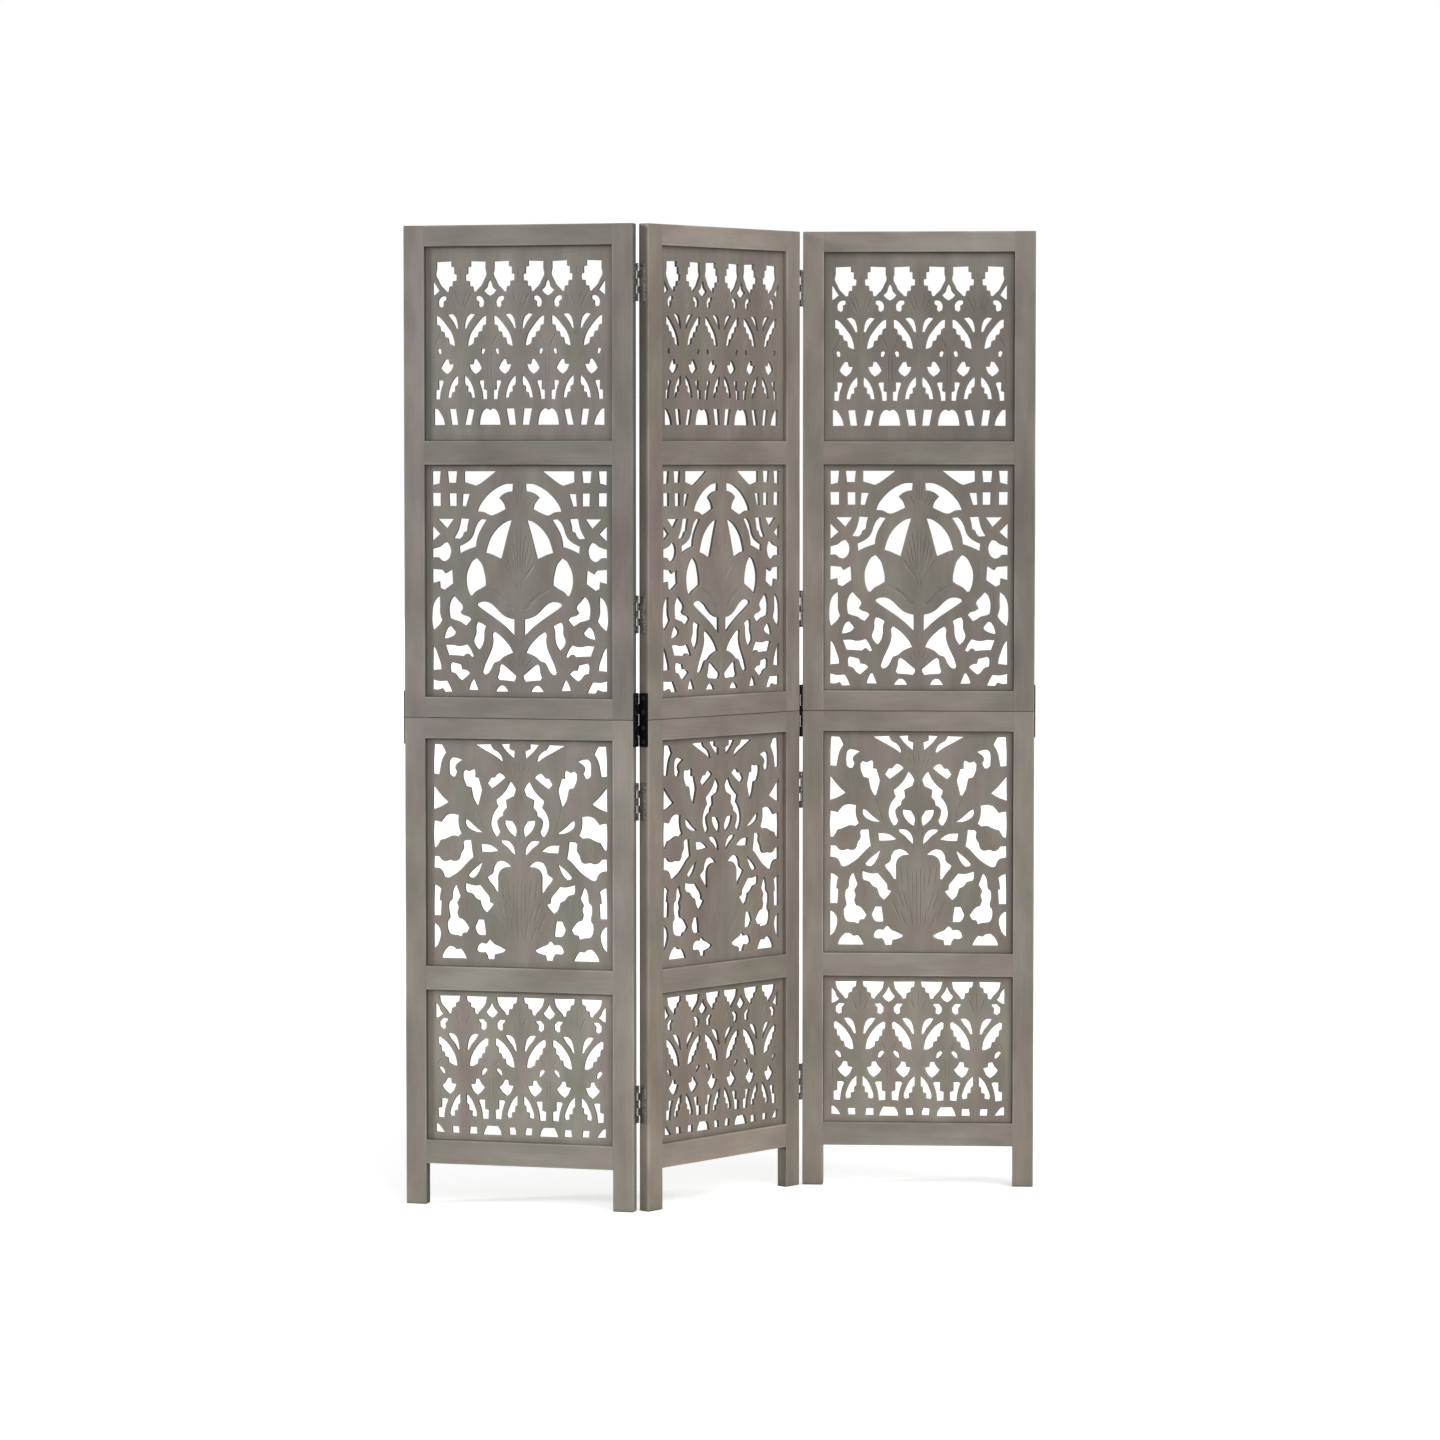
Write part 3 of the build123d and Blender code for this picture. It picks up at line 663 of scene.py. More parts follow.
# %% Vase board outlines
VASE = outlines("""
crown 18,377 33,376 24,364.5 10,352 9,365 18,368.5
brow 51,376 78,375 62,366 48,358.5 39,353 32,347.5 30,349 32.5,356.5 38,363 46.5,368
side1 137,374.5 150.5,375 152,350 152,325 142,324 140,335 138,345 134,355 130,361 133,368
hook 101.5,349 110,352 118.5,353 123,349 124.5,339 124,325 119,320.5 114,321 110.5,329 113.5,336
  112,341
comb 80,334 84,332.5 89,330 96,332.5 100,328 99.5,318 94.5,305 86,303 84.5,296 82,285 76,273.5
  73,274 69.5,288 67,299 70,310 72.5,319 78.5,320 78.5,330
bud 25.5,320.5 30.5,325.5 37,328 41,325 44.5,320 51,319.5 57,310 53,305 49.5,302 43,306.5 33,314
wave 17,314.5 19,310 25.5,298.5 34,289 42,282.5 41.5,277.5 38.5,271 45,263 49.5,252.5 51,240.5
  47.5,229 42.5,221 38.5,222.5 35,229.5 38.5,238 40,247.5 36,253 30,256.5 29,263 23,270 24.5,283
  18.5,286 10.5,290 7,300.5 12.5,310
side2 152,306 138,289 126,277.5 140,269.5 152.5,265
drop 13,247 26.5,248.5 26,241.5 20.5,231 12,223 8,220.5 6,234
slit1 65.5,227.5 73,232.5 82,240 90.5,247.5 95,249.5 96,243.5 93,236.5 87,232 77,228
blob 108,256 120,257.5 129,255 135,249 139,243.5 145,245 151.5,246 152.5,230 152.5,216 151.5,201
  147.5,201 143.5,207 140,213.5 132,215.5 126.5,218 119,221 109,220 103,225 106.5,233 108.5,245
slit2 26,214.5 34,214 32,210 23,203 15.5,195 9,189 9.5,198.5 13.5,207.5 19.5,213
slit3 38,197 45.5,203 53,206.5 69,207.5 67,194.5 50,195
wing 86,214 97.5,213.5 100.5,210 99.5,200 104.5,191 107,182.5 111.5,178.5 118,178.5 123,179.5
  130,177.5 136.5,179 142.5,185.5 151.5,186 152,166.5 141,164 136.5,159 133.5,151 128,149.5
  115,156 106.5,162 97.5,171 89,180 82,185.5 84.5,200
shoulder 15.5,170.5 23,177 31,180 41,177.5 46,169 48,159.5 57.5,152 55,146.5 47.5,137.5 41.5,128
  38.5,128 38.5,143 38.5,155 35,163.5 27.5,169
slit4 66,177.5 71.5,173 79,167 85.5,161 91,154.5 89,151 82,150 76.5,155 71.5,163
fan 46.5,107 53,110 54,118.5 61,127.5 69.5,138 81,137.5 89.5,139.5 96,141.5 96,130 94,126 84,123
  79,116.5 70.5,112 68.5,104.5 65.5,98 59,92 51.5,100
stem 112,138 115,135.5 119,126 120.5,113 125,108 126,96.5 124,82 128,75.5 126,58 123,54.5 111,52.5
  103.5,50.5 101,57 94,58 89.5,65.5 94.5,73 100.5,79.5 107.5,82 110.5,91 108.5,100 111,108 105,119
  108.5,128
side3 139,131 144,135 151,138 152,110 152,85.5 140,85.5 138.5,110 142,111.5 141,120.5
kite 63.5,80 74,80 77,72.5 79.5,66.5 76.5,58 73,54.5 60.5,54 61,63
side4 152,72.5 147.5,70.5 142,64 140,55 141.5,46 145.5,36 152,29
anchor 26,30 36,35.5 45.5,39.5 52.5,46.5 56,44.5 59.5,39.5 69,40 74.5,35.5 76.5,28 73,25 62,25
  58.5,20 56.5,13.5 46,13.5 44.5,22 36.5,24 28.5,27
dome 94,13.5 99,23.5 104,30 112.5,29 117.5,33 125.5,34 132,28 138,17 138,13.5
""")
print(f"vase: {len(VASE)} holes in half a board")

# %% [markdown]
# The friezes repeat a palmette of feathered petals every 101 mm, with a stem between each two.
# The tall one is above and the short one below. The motif is half a palmette from its middle,
# and the other list is what lies between two palmettes and at the foot.

# %% Frieze outlines
TALL_MOTIF = outlines("""
stepped 17,300 43,299 43,287 44.5,278 40,268 36,260 30,254 26,249.5 22,249.5 20.5,258 15,259
  14.5,267 8,268 7.5,277.5 12,279 12,290 17,291
comma 26,241 30,242 36,240 40,233 39,225 33.5,222.5 30.5,226 31,232.5 26,236
small_crescent 24,211 16,212.5 10.5,208 7,199 5.5,188 9,188 13,196.5 19,205
crescent 44,208.5 40,208 33,202 24,191 16.5,180 12.5,168 11,159 15,159.5 21.5,163 23,172 29,174
  30.5,182 36.5,184 38,192.5 43.5,195
sliver 35,146 35.5,153 39.5,155 42,152 39,145
notched 13.5,127.5 20.5,128 22.5,136.5 27.5,136 33,128 36,121.5 31,115.5 24.5,111.5 17.5,118
inner 6,110 12,104.5 18,95 22,84 24,72.5 18,72.5 16,81 11,83 11.5,91 6.5,94 5.5,100
outer 31,99 33,101 40,101 39.5,86 45,84.5 45,70 38,69.5 36,84
""")
TALL_BETWEEN = outlines("""
diamond 50.5,269.5 53.5,264 55.5,257 61.5,251 56.5,245.5 50.5,242 44.5,245.5 39.5,251 45.5,257
  47.5,264
half_diamond 150,268 143.5,258 139,251 146,245 150,243
bar1 5.5,27 8.5,54 22.5,54 17.5,27
arch 32.5,27 34,38 38,49 43,53.5 48,53.5 51,51.5 54,53.5 59,53.5 64,49 68,38 69.5,27
bar2 78.5,52 89,54 95,27 84,27
bar3 107,27 110.5,53.5 122,53 118,27
half_arch 130,27 132.5,37 138,47 143,53 148.5,54 148.5,26.5
""")
SHORT_MOTIF = outlines("""
stepped 5.5,245 42,244.5 39,232 34,225.5 28.5,219.5 25.5,214.5 21,215.5 19.5,224.5 13.5,226.5
  12.5,233.5 7,236
comma 27,206 36,206.5 41.5,200 41,192 36,187.5 31,190 31.5,199 27.5,203.5
small_crescent 27,180.5 20,181 13,177 9,168.5 6.5,154 9.5,153.5 14.5,163 21.5,171.5
crescent 44.5,173 41,175 30,167 20.5,155.5 13.5,142.5 10.5,127 14,126 25.5,131.5 27,140 32.5,141.5
  34,148.5 38.5,150.5 39.5,160 44,163
sliver 32,112 34,120.5 39.5,124.5 43,121.5 39,116 34.5,112
notched 12.5,95 20.5,96.5 21.5,104.5 28,105.5 32,98 38,91.5 33,84.5 24.5,77.5 18,83
inner 5.5,80 14,71 20,59 24,44.5 22,40 15,42 15.5,50 9.5,52 9.5,60 5.5,63.5
outer 27,68 29.5,70 38.5,70 38.5,55 45,53 44.5,38 34,37 32.5,50 30,60
""")
SHORT_BETWEEN = outlines("""
diamond 50.5,236 54,228 61,219 56.5,213 50.5,209 44.5,213 40,219 47,228
half_diamond 149.5,233 143.5,226 141,219 136.5,214 145,208 149.5,207
bar1 7.5,12 8.5,20 10.5,25 20.5,24 19.5,12
arch 33.5,10.5 35.5,19.5 40,26 59.5,26.5 63.5,19 66.5,10.5
bar2 77,23.5 89,23.5 90.5,11.5 76.5,11.5
bar3 109,23.5 121,23.5 120,12 108,12
half_arch 133.5,12 139,20 145,26.5 149.5,27.5 149.5,13
""")
PITCH = 101.0


def frieze(motif, between):
    """Half a frieze: the right half of the middle palmette, both halves of the next, and what
    lies between."""
    return (motif + [hole * (-1, 1) + (PITCH, 0) for hole in motif]
            + [hole + (PITCH, 0) for hole in motif] + between)


print(f"{len(frieze(TALL_MOTIF, TALL_BETWEEN))} holes in half the tall frieze")

# %% [markdown]
# ## Cut lines
# A carver marks petals and stems with single strokes of a V-tool. A stroke starts and ends at
# nothing and is widest in between, so it is written as its two ends and its greatest width. A
# wide stroke is cut at a flatter angle, so its depth goes with the root of its width.

# %% Strokes of the V-tool
def strokes_from(text):
    """A stroke on each row: u,z at its start, u,z at its end and its greatest width."""
    return np.array(text.replace(",", " ").split(), float).reshape(-1, 5)


TULIP_STROKES = strokes_from("""
0,362 0,324 3  5.6,359 3.2,326 2.8  17,338 7.5,320 3.4  25,332 14,317 2.8  3.6,286 2,212 3.2
12.5,274 7.5,234 3.6  18,260 8.5,216 4  23.5,246 12.5,209 4  8.5,258 4.5,206 3.2  28,227 6,196 7.4
3.5,194 2.5,178 3  56,185 30,167 5.2  43,181 8,147 7  25,158 10,146 4.6  8,100 2,86 2.8
0,72 0,48 3  12,70 4.5,54 3  21,63 8.5,49 3
""")
VASE_STROKES = strokes_from("""
0,350 0,328 3  11,345 6,326 3  20,342 12,324 3  3,300 3,280 2.6  0,245 0,210 2.8  10,215 4,198 2.8
3.6,152 3.6,46 3.4  10.5,144 10,92 3.2  32,150 27,116 4  21,150 16,110 3.6  37,112 25,76 4.2
27,108 17,72 4  46,92 31,58 4.4  31,72 19,44 4  15,84 9.5,46 3.6  75,272 68,250 3.4
68,250 60,222 3.4  125,207 125,193 2.4  92,112 92,98 2.4
""")
TALL_STROKES = strokes_from("20,249 6,220 5  10,252 3.4,224 3.4  0,292 0,262 2.8  5,187 2,176 2.2")
TALL_STEM_STROKES = strokes_from("15,180 3,157 4.2  3,152 3,96 2.6")
SHORT_STROKES = strokes_from("0,232 0,196 3  13,214 5,193 4.2")
SHORT_STEM_STROKES = strokes_from("14,141 4,125 3.6  3,108 3,72 2.6")


def repeated(strokes, *places):
    """Each stroke once for every place: a side, -1 or 1, that it is turned to, and a middle."""
    made = [strokes * (side, 1, side, 1, 1) + (middle, 0, middle, 0, 0) for side, middle in places]
    return np.stack(made, 1).reshape(-1, 5)


def frieze_strokes(motif, stem):
    """Half a frieze's strokes: the middle palmette, the next one both ways, and the stems."""
    return np.concatenate([motif, repeated(motif, (-1, PITCH), (1, PITCH)),
                           repeated(stem, (-1, PITCH / 2), (1, PITCH / 2), (-1, 1.5 * PITCH))])


def both_ways(strokes):
    """The strokes and their mirror images. A stroke on the middle line is cut once."""
    aside = strokes[:, [0, 2]].any(1)
    return np.concatenate([strokes, repeated(strokes[aside], (-1, 0))])


print(f"{len(both_ways(TULIP_STROKES))} strokes on a tulip board")

# %% [markdown]
# ## Easing an outline
# Written corners that turn only a little belong to a curve, and the others are true corners
# left by the saw. Between two points the edge follows a cubic whose direction at each end is the
# chord of its neighbours at a gentle point, and the edge itself at a sharp one. A short straight
# run between two sharp corners needs no more points.

# %% Eased outlines
GENTLE = math.radians(43)
SHORT_EDGE = 2.5
SAMPLES = 4  # points on each edge of a curve


def unit(vectors):
    """The vectors at length 1."""
    return vectors / np.maximum(np.linalg.norm(vectors, axis=1, keepdims=True), 1e-9)


def eased(outline):
    """Hermite cubics through the points: p(t) = h00 a + h10 m0 + h01 b + h11 m1, with the slopes
    m of the length of the edge. Anticlockwise, as an array."""
    area = (outline[:, 0] * np.roll(outline[:, 1], -1)
            - np.roll(outline[:, 0], -1) * outline[:, 1]).sum()
    p = outline if area > 0 else outline[::-1]
    edge = np.roll(p, -1, 0) - p
    length = np.linalg.norm(edge, axis=1, keepdims=True)
    way = edge / length
    before = np.roll(way, 1, 0)
    gentle = (np.arccos(np.clip((way * before).sum(1), -1, 1)) < GENTLE)[:, None]
    chord = unit(way + before)
    m0 = (np.where(gentle, chord, way) * length)[:, None]
    m1 = (np.roll(np.where(gentle, chord, before), -1, 0) * length)[:, None]
    a, b = p[:, None], np.roll(p, -1, 0)[:, None]
    t = np.arange(SAMPLES)[None, :, None] / SAMPLES
    curve = ((2 * t**3 - 3 * t**2 + 1) * a + (t**3 - 2 * t**2 + t) * m0
             + (3 * t**2 - 2 * t**3) * b + (t**3 - t**2) * m1)
    straight = ~gentle[:, 0] & ~np.roll(gentle[:, 0], -1) | (length[:, 0] < SHORT_EDGE)
    keep = np.ones(curve.shape[:2], bool)
    keep[straight, 1:] = False
    return curve[keep]


def pushed_out(loop, distance):
    """The loop moved outward: each point goes along the middle of its two edges' normals, further
    at a corner, but never over twice the distance."""
    way = unit(np.roll(loop, -1, 0) - loop)
    normal = np.stack([way[:, 1], -way[:, 0]], -1)
    middle = unit(normal + np.roll(normal, 1, 0))
    stretch = 1 / np.maximum((middle * normal).sum(1), 0.5)
    return loop + middle * (stretch * distance)[:, None]


print(f"{sum(len(eased(hole)) for hole in TULIP)} points round half a tulip board's holes")

# %% [markdown]
# ## Carving a board
# A carved board is a height field on each face, joined by the walls of its holes. Its corners are
# the points of the holes, of rings pushed out from them where the arris is rounded, of the
# strokes, and of rings within the rim where painted shade lies. It could be cut with boolean
# solids, but this way the rounding comes for nothing and the mesh stays clean.

# %% The lines of a plan
ARRIS_AT, ARRIS_DEEP = [0.0, 0.3, 0.9], [0.75, 0.24, 0.0]
WORN_AT, WORN = [0.0, 0.9, 2.4], [1.0, 0.55, 0.0]
SEAM_AT = [0.0, 2.2, 8.0, 13.0]
STROKE_STEP = 4.0  # a stroke has a point about every so many millimetres
HALF_OPENING = LEAF_WIDTH / 2 - STILE_WIDTH
TULIP_HIGH = UPPER[2] - UPPER[1]


def half_width(t, width):
    """A stroke's half width at t of its length: nothing at the ends, full between."""
    return width / 2 * np.sqrt(np.clip(4 * t * (1 - t), 0.0, 1.0))


def plan_lines(holes, strokes, height):
    """Every line that the plan keeps, each with whether it closes: the holes, their rings, the
    rim and its rings, and for each stroke its middle and its outline."""
    loops = holes + [pushed_out(hole, d) for hole in holes for d in (*ARRIS_AT[1:], WORN_AT[-1])]
    for out in (TONGUE, *(-s for s in SEAM_AT)):
        w = HALF_OPENING + out
        loops.append(np.array([(-w, -out), (w, -out), (w, height + out), (-w, height + out)]))
    lines = [(loop, True) for loop in loops]
    for u0, z0, u1, z1, width in strokes:
        length = math.hypot(u1 - u0, z1 - z0)
        t = np.linspace(0, 1, max(3, int(length / STROKE_STEP)) + 1)[:, None]
        middle = np.array([u0, z0]) * (1 - t) + np.array([u1, z1]) * t
        way = np.array([u1 - u0, z1 - z0]) / length
        side = np.array([way[1], -way[0]]) * half_width(t, width)
        outline = np.concatenate([middle + side, (middle - side)[-2:0:-1]])
        lines += [(middle, False), (outline, True)]
    return lines


print(f"{len(plan_lines([eased(hole) for hole in TULIP], [], TULIP_HIGH))} lines in half a plan")

# %% [markdown]
# A constrained triangulation keeps every one of these lines as an edge, so no triangle reaches
# across a hole's rim. What lies in a hole is then left out, as the fret saw drops it, and each
# edge that is left open gets a wall through the board.

# %% Triangles and walls
MERGE = 1e-4  # points nearer than this become one


def inside(points, loop):
    """Whether each point is in the loop: a level line from it crosses the edges an odd number of
    times."""
    a, b = loop, np.roll(loop, -1, 0)
    x, y = points[:, :1], points[:, 1:]
    crosses = (a[:, 1] > y) != (b[:, 1] > y)
    rise = np.where(a[:, 1] == b[:, 1], 1e-9, b[:, 1] - a[:, 1])
    at = a[:, 0] + (y - a[:, 1]) / rise * (b[:, 0] - a[:, 0])
    return (crosses & (x < at)).sum(1) % 2 == 1


def triangulated(lines, holes, height):
    """The plan's corners and triangles: a constrained Delaunay triangulation of the lines, but
    for what lies in a hole or past the rim."""
    edges, first = [], 0
    for line, closed in lines:
        index = np.arange(first, first + len(line))
        pairs = np.stack([index, np.roll(index, -1)], -1)
        edges.append(pairs if closed else pairs[:-1])
        first += len(line)
    corners = np.concatenate([line for line, _ in lines]).tolist()
    made = delaunay_2d_cdt(list(map(tuple, corners)), np.concatenate(edges).tolist(), [], 0,
                           MERGE, False)
    plan, triangles = np.array([tuple(v) for v in made[0]]), np.array(made[2])
    centre = plan[triangles].mean(1)
    u, z = centre.T
    solid = (np.abs(u) < HALF_OPENING + TONGUE) & (z > -TONGUE) & (z < height + TONGUE)
    for hole in holes:
        near = np.flatnonzero(((centre > hole.min(0)) & (centre < hole.max(0))).all(1))
        solid[near[inside(centre[near], hole)]] = False
    used, triangles = np.unique(triangles[solid], return_inverse=True)
    return plan[used], triangles.reshape(-1, 3)


def both_faces(triangles, count):
    """The front, the back turned over, and a wall along each edge that only one triangle uses,
    which are the rim and the holes. count is the number of corners of one face."""
    edges = np.concatenate([triangles[:, [0, 1]], triangles[:, [1, 2]], triangles[:, [2, 0]]])
    keys = np.sort(edges, 1) @ np.array([count, 1])
    _, at, times = np.unique(keys, return_index=True, return_counts=True)
    start, end = edges[at[times == 1]].T
    walls = np.stack([end, start, start + count, end + count], -1)
    return triangles.tolist() + (triangles[:, ::-1] + count).tolist() + walls.tolist()


plain, triangles = triangulated(plan_lines([], [], TULIP_HIGH), [], TULIP_HIGH)
print(f"a plain board has {len(both_faces(triangles, len(plain)))} faces")

# %% [markdown]
# Two simple rules give each corner its depth: how far it is from a hole, and how far it is from
# the line of a stroke. The same distances say where the wood is rubbed, and where a stroke gets
# its painted highlight and painted shade.

# %% The rules of depth
STROKE_DEEP = 0.8
SHALLOW = 0.02  # a cut less deep than this leaves the arris rubbed
CRISP = 0.03  # a corner this near to a stroke's outline is on it
CHUNK = 2000  # how many points are measured at a time


def nearest(points, starts, ends):
    """For each point, the distance to the nearest of the segments, which one it is, and how far
    along it, from 0 to 1: the foot of the perpendicular, held within the segment."""
    span = ends - starts
    square = np.maximum((span**2).sum(1), 1e-12)
    found = []
    for first in range(0, len(points), CHUNK):
        p = points[first:first + CHUNK, None]
        t = np.clip(((p - starts) * span).sum(2) / square, 0, 1)
        gap = np.linalg.norm(p - starts - t[..., None] * span, axis=2)
        index = gap.argmin(1)
        rows = np.arange(len(index))
        found.append((gap[rows, index], index, t[rows, index]))
    return [np.concatenate(column) for column in zip(*found)]


def carve(half_holes, half_strokes, low, high):
    """A board between two levels: its plan and faces, the depth and the wear of each corner, and
    how far it is from the four sides of the opening."""
    holes = [eased(hole) for hole in half_holes]
    holes += [eased(hole * (-1, 1)) for hole in half_holes]
    strokes, height = both_ways(half_strokes), high - low
    plan, triangles = triangulated(plan_lines(holes, strokes, height), holes, height)
    far, _, _ = nearest(plan, np.concatenate(holes),
                        np.concatenate([np.roll(hole, -1, 0) for hole in holes]))
    gap, which, where = nearest(plan, strokes[:, :2], strokes[:, 2:4])
    half = half_width(where, strokes[which, 4])
    share = np.clip(1 - gap / np.maximum(half, 1e-6), 0, 1)
    groove = STROKE_DEEP * np.sqrt(half) * share
    u, z = plan.T
    return {"across": u + LEAF_WIDTH / 2, "height": z + low,
            "faces": both_faces(triangles, len(plan)),
            "depth": np.maximum(np.interp(far, ARRIS_AT, ARRIS_DEEP), groove),
            "sides": (HALF_OPENING + u, HALF_OPENING - u, z, height - z),
            "worn": np.interp(far, WORN_AT, WORN) * (groove < SHALLOW),
            "struck": share * np.clip(half, 0, 1),
            "creased": (groove > 0) | (np.abs(gap - half) < CRISP)}


PATTERNS = {
    "tulip_board": carve(TULIP, TULIP_STROKES, *UPPER[1:3]),
    "vase_board": carve(VASE, VASE_STROKES, *LOWER[3:5]),
    "upper_frieze_board": carve(frieze(TALL_MOTIF, TALL_BETWEEN),
                                frieze_strokes(TALL_STROKES, TALL_STEM_STROKES), *UPPER[3:5]),
    "lower_frieze_board": carve(frieze(SHORT_MOTIF, SHORT_BETWEEN),
                                frieze_strokes(SHORT_STROKES, SHORT_STEM_STROKES), *LOWER[1:3]),
}
print({node: f"{len(made['faces'])} faces" for node, made in PATTERNS.items()})

# %% [markdown]
# ## Boards
# The three leaves share the four plans. What differs from leaf to leaf is the painted shade
# along the seams, where the frame shades the recess more on some sides than others. The walls
# of the holes are darkest, with stain the cut wood soaks up and painted shade.

# %% Boards
BOARD_NEAR, BOARD_FAR = 7.0, 13.0
# the walls of the holes and the bottoms of deep strokes: stain the cut wood soaks up, and painted
# shade
WALL_DEEP, WALL_STAIN_AND_SHADE = 0.7, 0.66
SEAM_PAINTED_SHADE = {  # leaf: painted shade at SEAM_AT from the left, right, bottom and top of a board, where the frame shades the recess
    "left": ((1.0, 0.1, 0.12, 0.0), (0.5, 0.2, 0.12, 0.0), (0.5, 0.15, 0.05, 0.0),
             (0.9, 0.15, 0.1, 0.0)),
    "centre": ((0.1, 0.0, 0.0, 0.0), (0.0, 0.0, 0.0, 0.0), (0.6, 0.1, 0.0, 0.0),
               (0.8, 0.25, 0.12, 0.0)),
    "right": ((0.1, 0.0, 0.0, 0.0), (1.0, 0.1, 0.0, 0.0), (0.8, 0.1, 0.0, 0.0),
              (0.9, 0.3, 0.15, 0.0)),
}


def board(leaf, node):
    """Both faces from one plan, the back one the mirror image of the front."""
    name, made = f"{leaf}_{node}", PATTERNS[node]
    across, height, depth = made["across"], made["height"], made["depth"]
    points = np.concatenate([grid(across, BOARD_NEAR + depth, height),
                             grid(across, BOARD_FAR - depth, height)])
    # painted shade along each side of the recess
    seams = [np.interp(gap, SEAM_AT, stain) for gap, stain in zip(made["sides"], SEAM_PAINTED_SHADE[leaf])]
    values = {"worn": np.tile(made["worn"], 2), "struck": np.tile(made["struck"], 2),
              "stain_and_shade": np.tile(np.max([*seams, (depth > WALL_DEEP) * WALL_STAIN_AND_SHADE], axis=0), 2),
              "cut": cut_from(points, (2, 0, 1), name), "tone": plank_tone(leaf, node, points)}
    return make_piece(f"{name}_carved", points, made["faces"], BOARD_WOOD[leaf], leaf, name,
                      values, np.tile(made["creased"], 2))


boards = [board(leaf, node) for leaf in PLACES for node in PATTERNS]
print(f"{len(boards)} boards, {sum(len(b.data.polygons) for b in boards)} faces")

# %% [markdown]
# ## Plates, hinges and screws
# A flat steel part is its outline carried through its thickness, drawn in a little at both
# faces, as a stamped plate is. A knuckle is a strip rolled round the pin, so its outline is a
# line that runs straight and then round, thickened to both sides and carried up. A screw head
# is a disc whose height is a rule on a polar grid, with a crossed recess.

# %% Small metal shapes
KNUCKLES, KNUCKLE_GAP = 5, 0.35
CROSS_WIDE, CROSS_LONG = 0.13, 0.52  # a recess's half width and reach, in head radii
LET_IN = 0.3  # how far the rim of a screw head goes into the metal


def rounded_outline(width, height, radius):
    """A rectangle about the origin with rounded corners, anticlockwise."""
    a = np.radians(np.linspace(0, 90, 5))
    quarter = [(sx * (width / 2 - radius), sy * (height / 2 - radius), a + math.radians(start))
               for sx, sy, start in ((1, -1, -90), (1, 1, 0), (-1, 1, 90), (-1, -1, 180))]
    return np.concatenate([grid(x + radius * np.cos(b), y + radius * np.sin(b))
                           for x, y, b in quarter])


def stamped(outline, low, high, ease):
    """The outline at four levels through the thickness, scaled in by ease at both faces."""
    draw = np.array([ease, 0.0, 0.0, ease])[:, None, None]
    scaled = outline * (1 - draw / np.abs(outline).max(0))
    levels = np.array([low, low + ease, high - ease, high])[:, None]
    return grid(scaled[..., 0], scaled[..., 1], levels)


def ribbon(line, thickness):
    """A line in plan thickened to both sides: out along one side and back along the other."""
    way = unit(np.gradient(line, axis=0))
    side = np.stack([way[:, 1], -way[:, 0]], -1) * thickness / 2
    return np.concatenate([line + side, (line - side)[::-1]])


def curl(reach, radius):
    """The middle line of a hinge strip in plan about the pin: straight from reach towards it,
    then most of a turn round it."""
    roll = np.radians(np.linspace(0, -318, 22))
    line = [(radius, reach), (radius, (reach + radius) / 2), (radius, 0.6 * radius)]
    return np.concatenate([line, radius * grid(np.cos(roll), np.sin(roll))])


def knuckles(strip, first, level, height):
    """Every second one of five knuckles, beginning with that one: the strip's outline raised."""
    high = (height - (KNUCKLES - 1) * KNUCKLE_GAP) / KNUCKLES
    lows = level - height / 2 + np.arange(first, KNUCKLES, 2) * (high + KNUCKLE_GAP)
    return [grid(*strip.T, np.array([[low], [low + high]])) for low in lows]


def pin_rings(radius, level, height):
    """A pin as rings about its axis, rounded at both tips: r falls by the circle's rule."""
    z = np.array([0.0, 0.12, 0.45, 0.9]) - height / 2
    r = radius * np.array([0.35, 0.7, 0.93, 1.0])
    z, r = np.concatenate([z, -z[::-1]])[:, None] + level, np.concatenate([r, r[::-1]])[:, None]
    a = np.radians(np.arange(0, 360, 22.5))
    return grid(r * np.cos(a), r * np.sin(a), z)


def screw_head(radius, rise, recess):
    """Rings about the z axis: a low dome of that rise, with a cross sunk where |x| or |y| is
    small and the radius is under a half of the head's."""
    share = np.array([1.0, 1.0, 0.93, 0.75, 0.56, 0.5, 0.3, 0.12, 0.02])[:, None]
    angle = np.radians(np.arange(0, 360, 11.25) + 5.6)
    x, y = radius * share * np.cos(angle), radius * share * np.sin(angle)
    arm = (np.minimum(np.abs(x), np.abs(y)) < CROSS_WIDE * radius) & (share < CROSS_LONG)
    z = rise * np.sqrt(np.clip(1 - share**2, 0, 1)) - recess * arm
    z[0] = -LET_IN
    return grid(x, y, z)


print(f"a screw head has {len(screw_head(1.0, 0.1, 0.1).reshape(-1, 3))} points")

# %% [markdown]
# The plates hold the two halves together on both edges of each leaf. Each is laid flat as a
# drawing and then turned onto the edge, and so are its four screws.

# %% Joining plates
PLATE_HIGH, PLATE_WIDE, PLATE_THICK, PLATE_ROUND, PLATE_EASE = 90.0, 19.0, 1.8, 2.2, 0.25
PLATE_OFF = 0.02  # how far its inner face is from the wood
PLATE_HEAD = (3.7, 0.17, 0.5)  # a screw head's radius, rise and recess
PLATE_SCREWS = (-36.0, -13.0, 13.0, 36.0)


def on_edge(rings, side):
    """A shape drawn flat, x upward and y across, laid on a leaf's edge at the joint: its height
    becomes the way out from the edge."""
    edge = 0.0 if side < 0 else LEAF_WIDTH
    return grid(edge + side * rings[..., 2], LEAF_THICKNESS / 2 + rings[..., 1],
                JOINT + rings[..., 0])


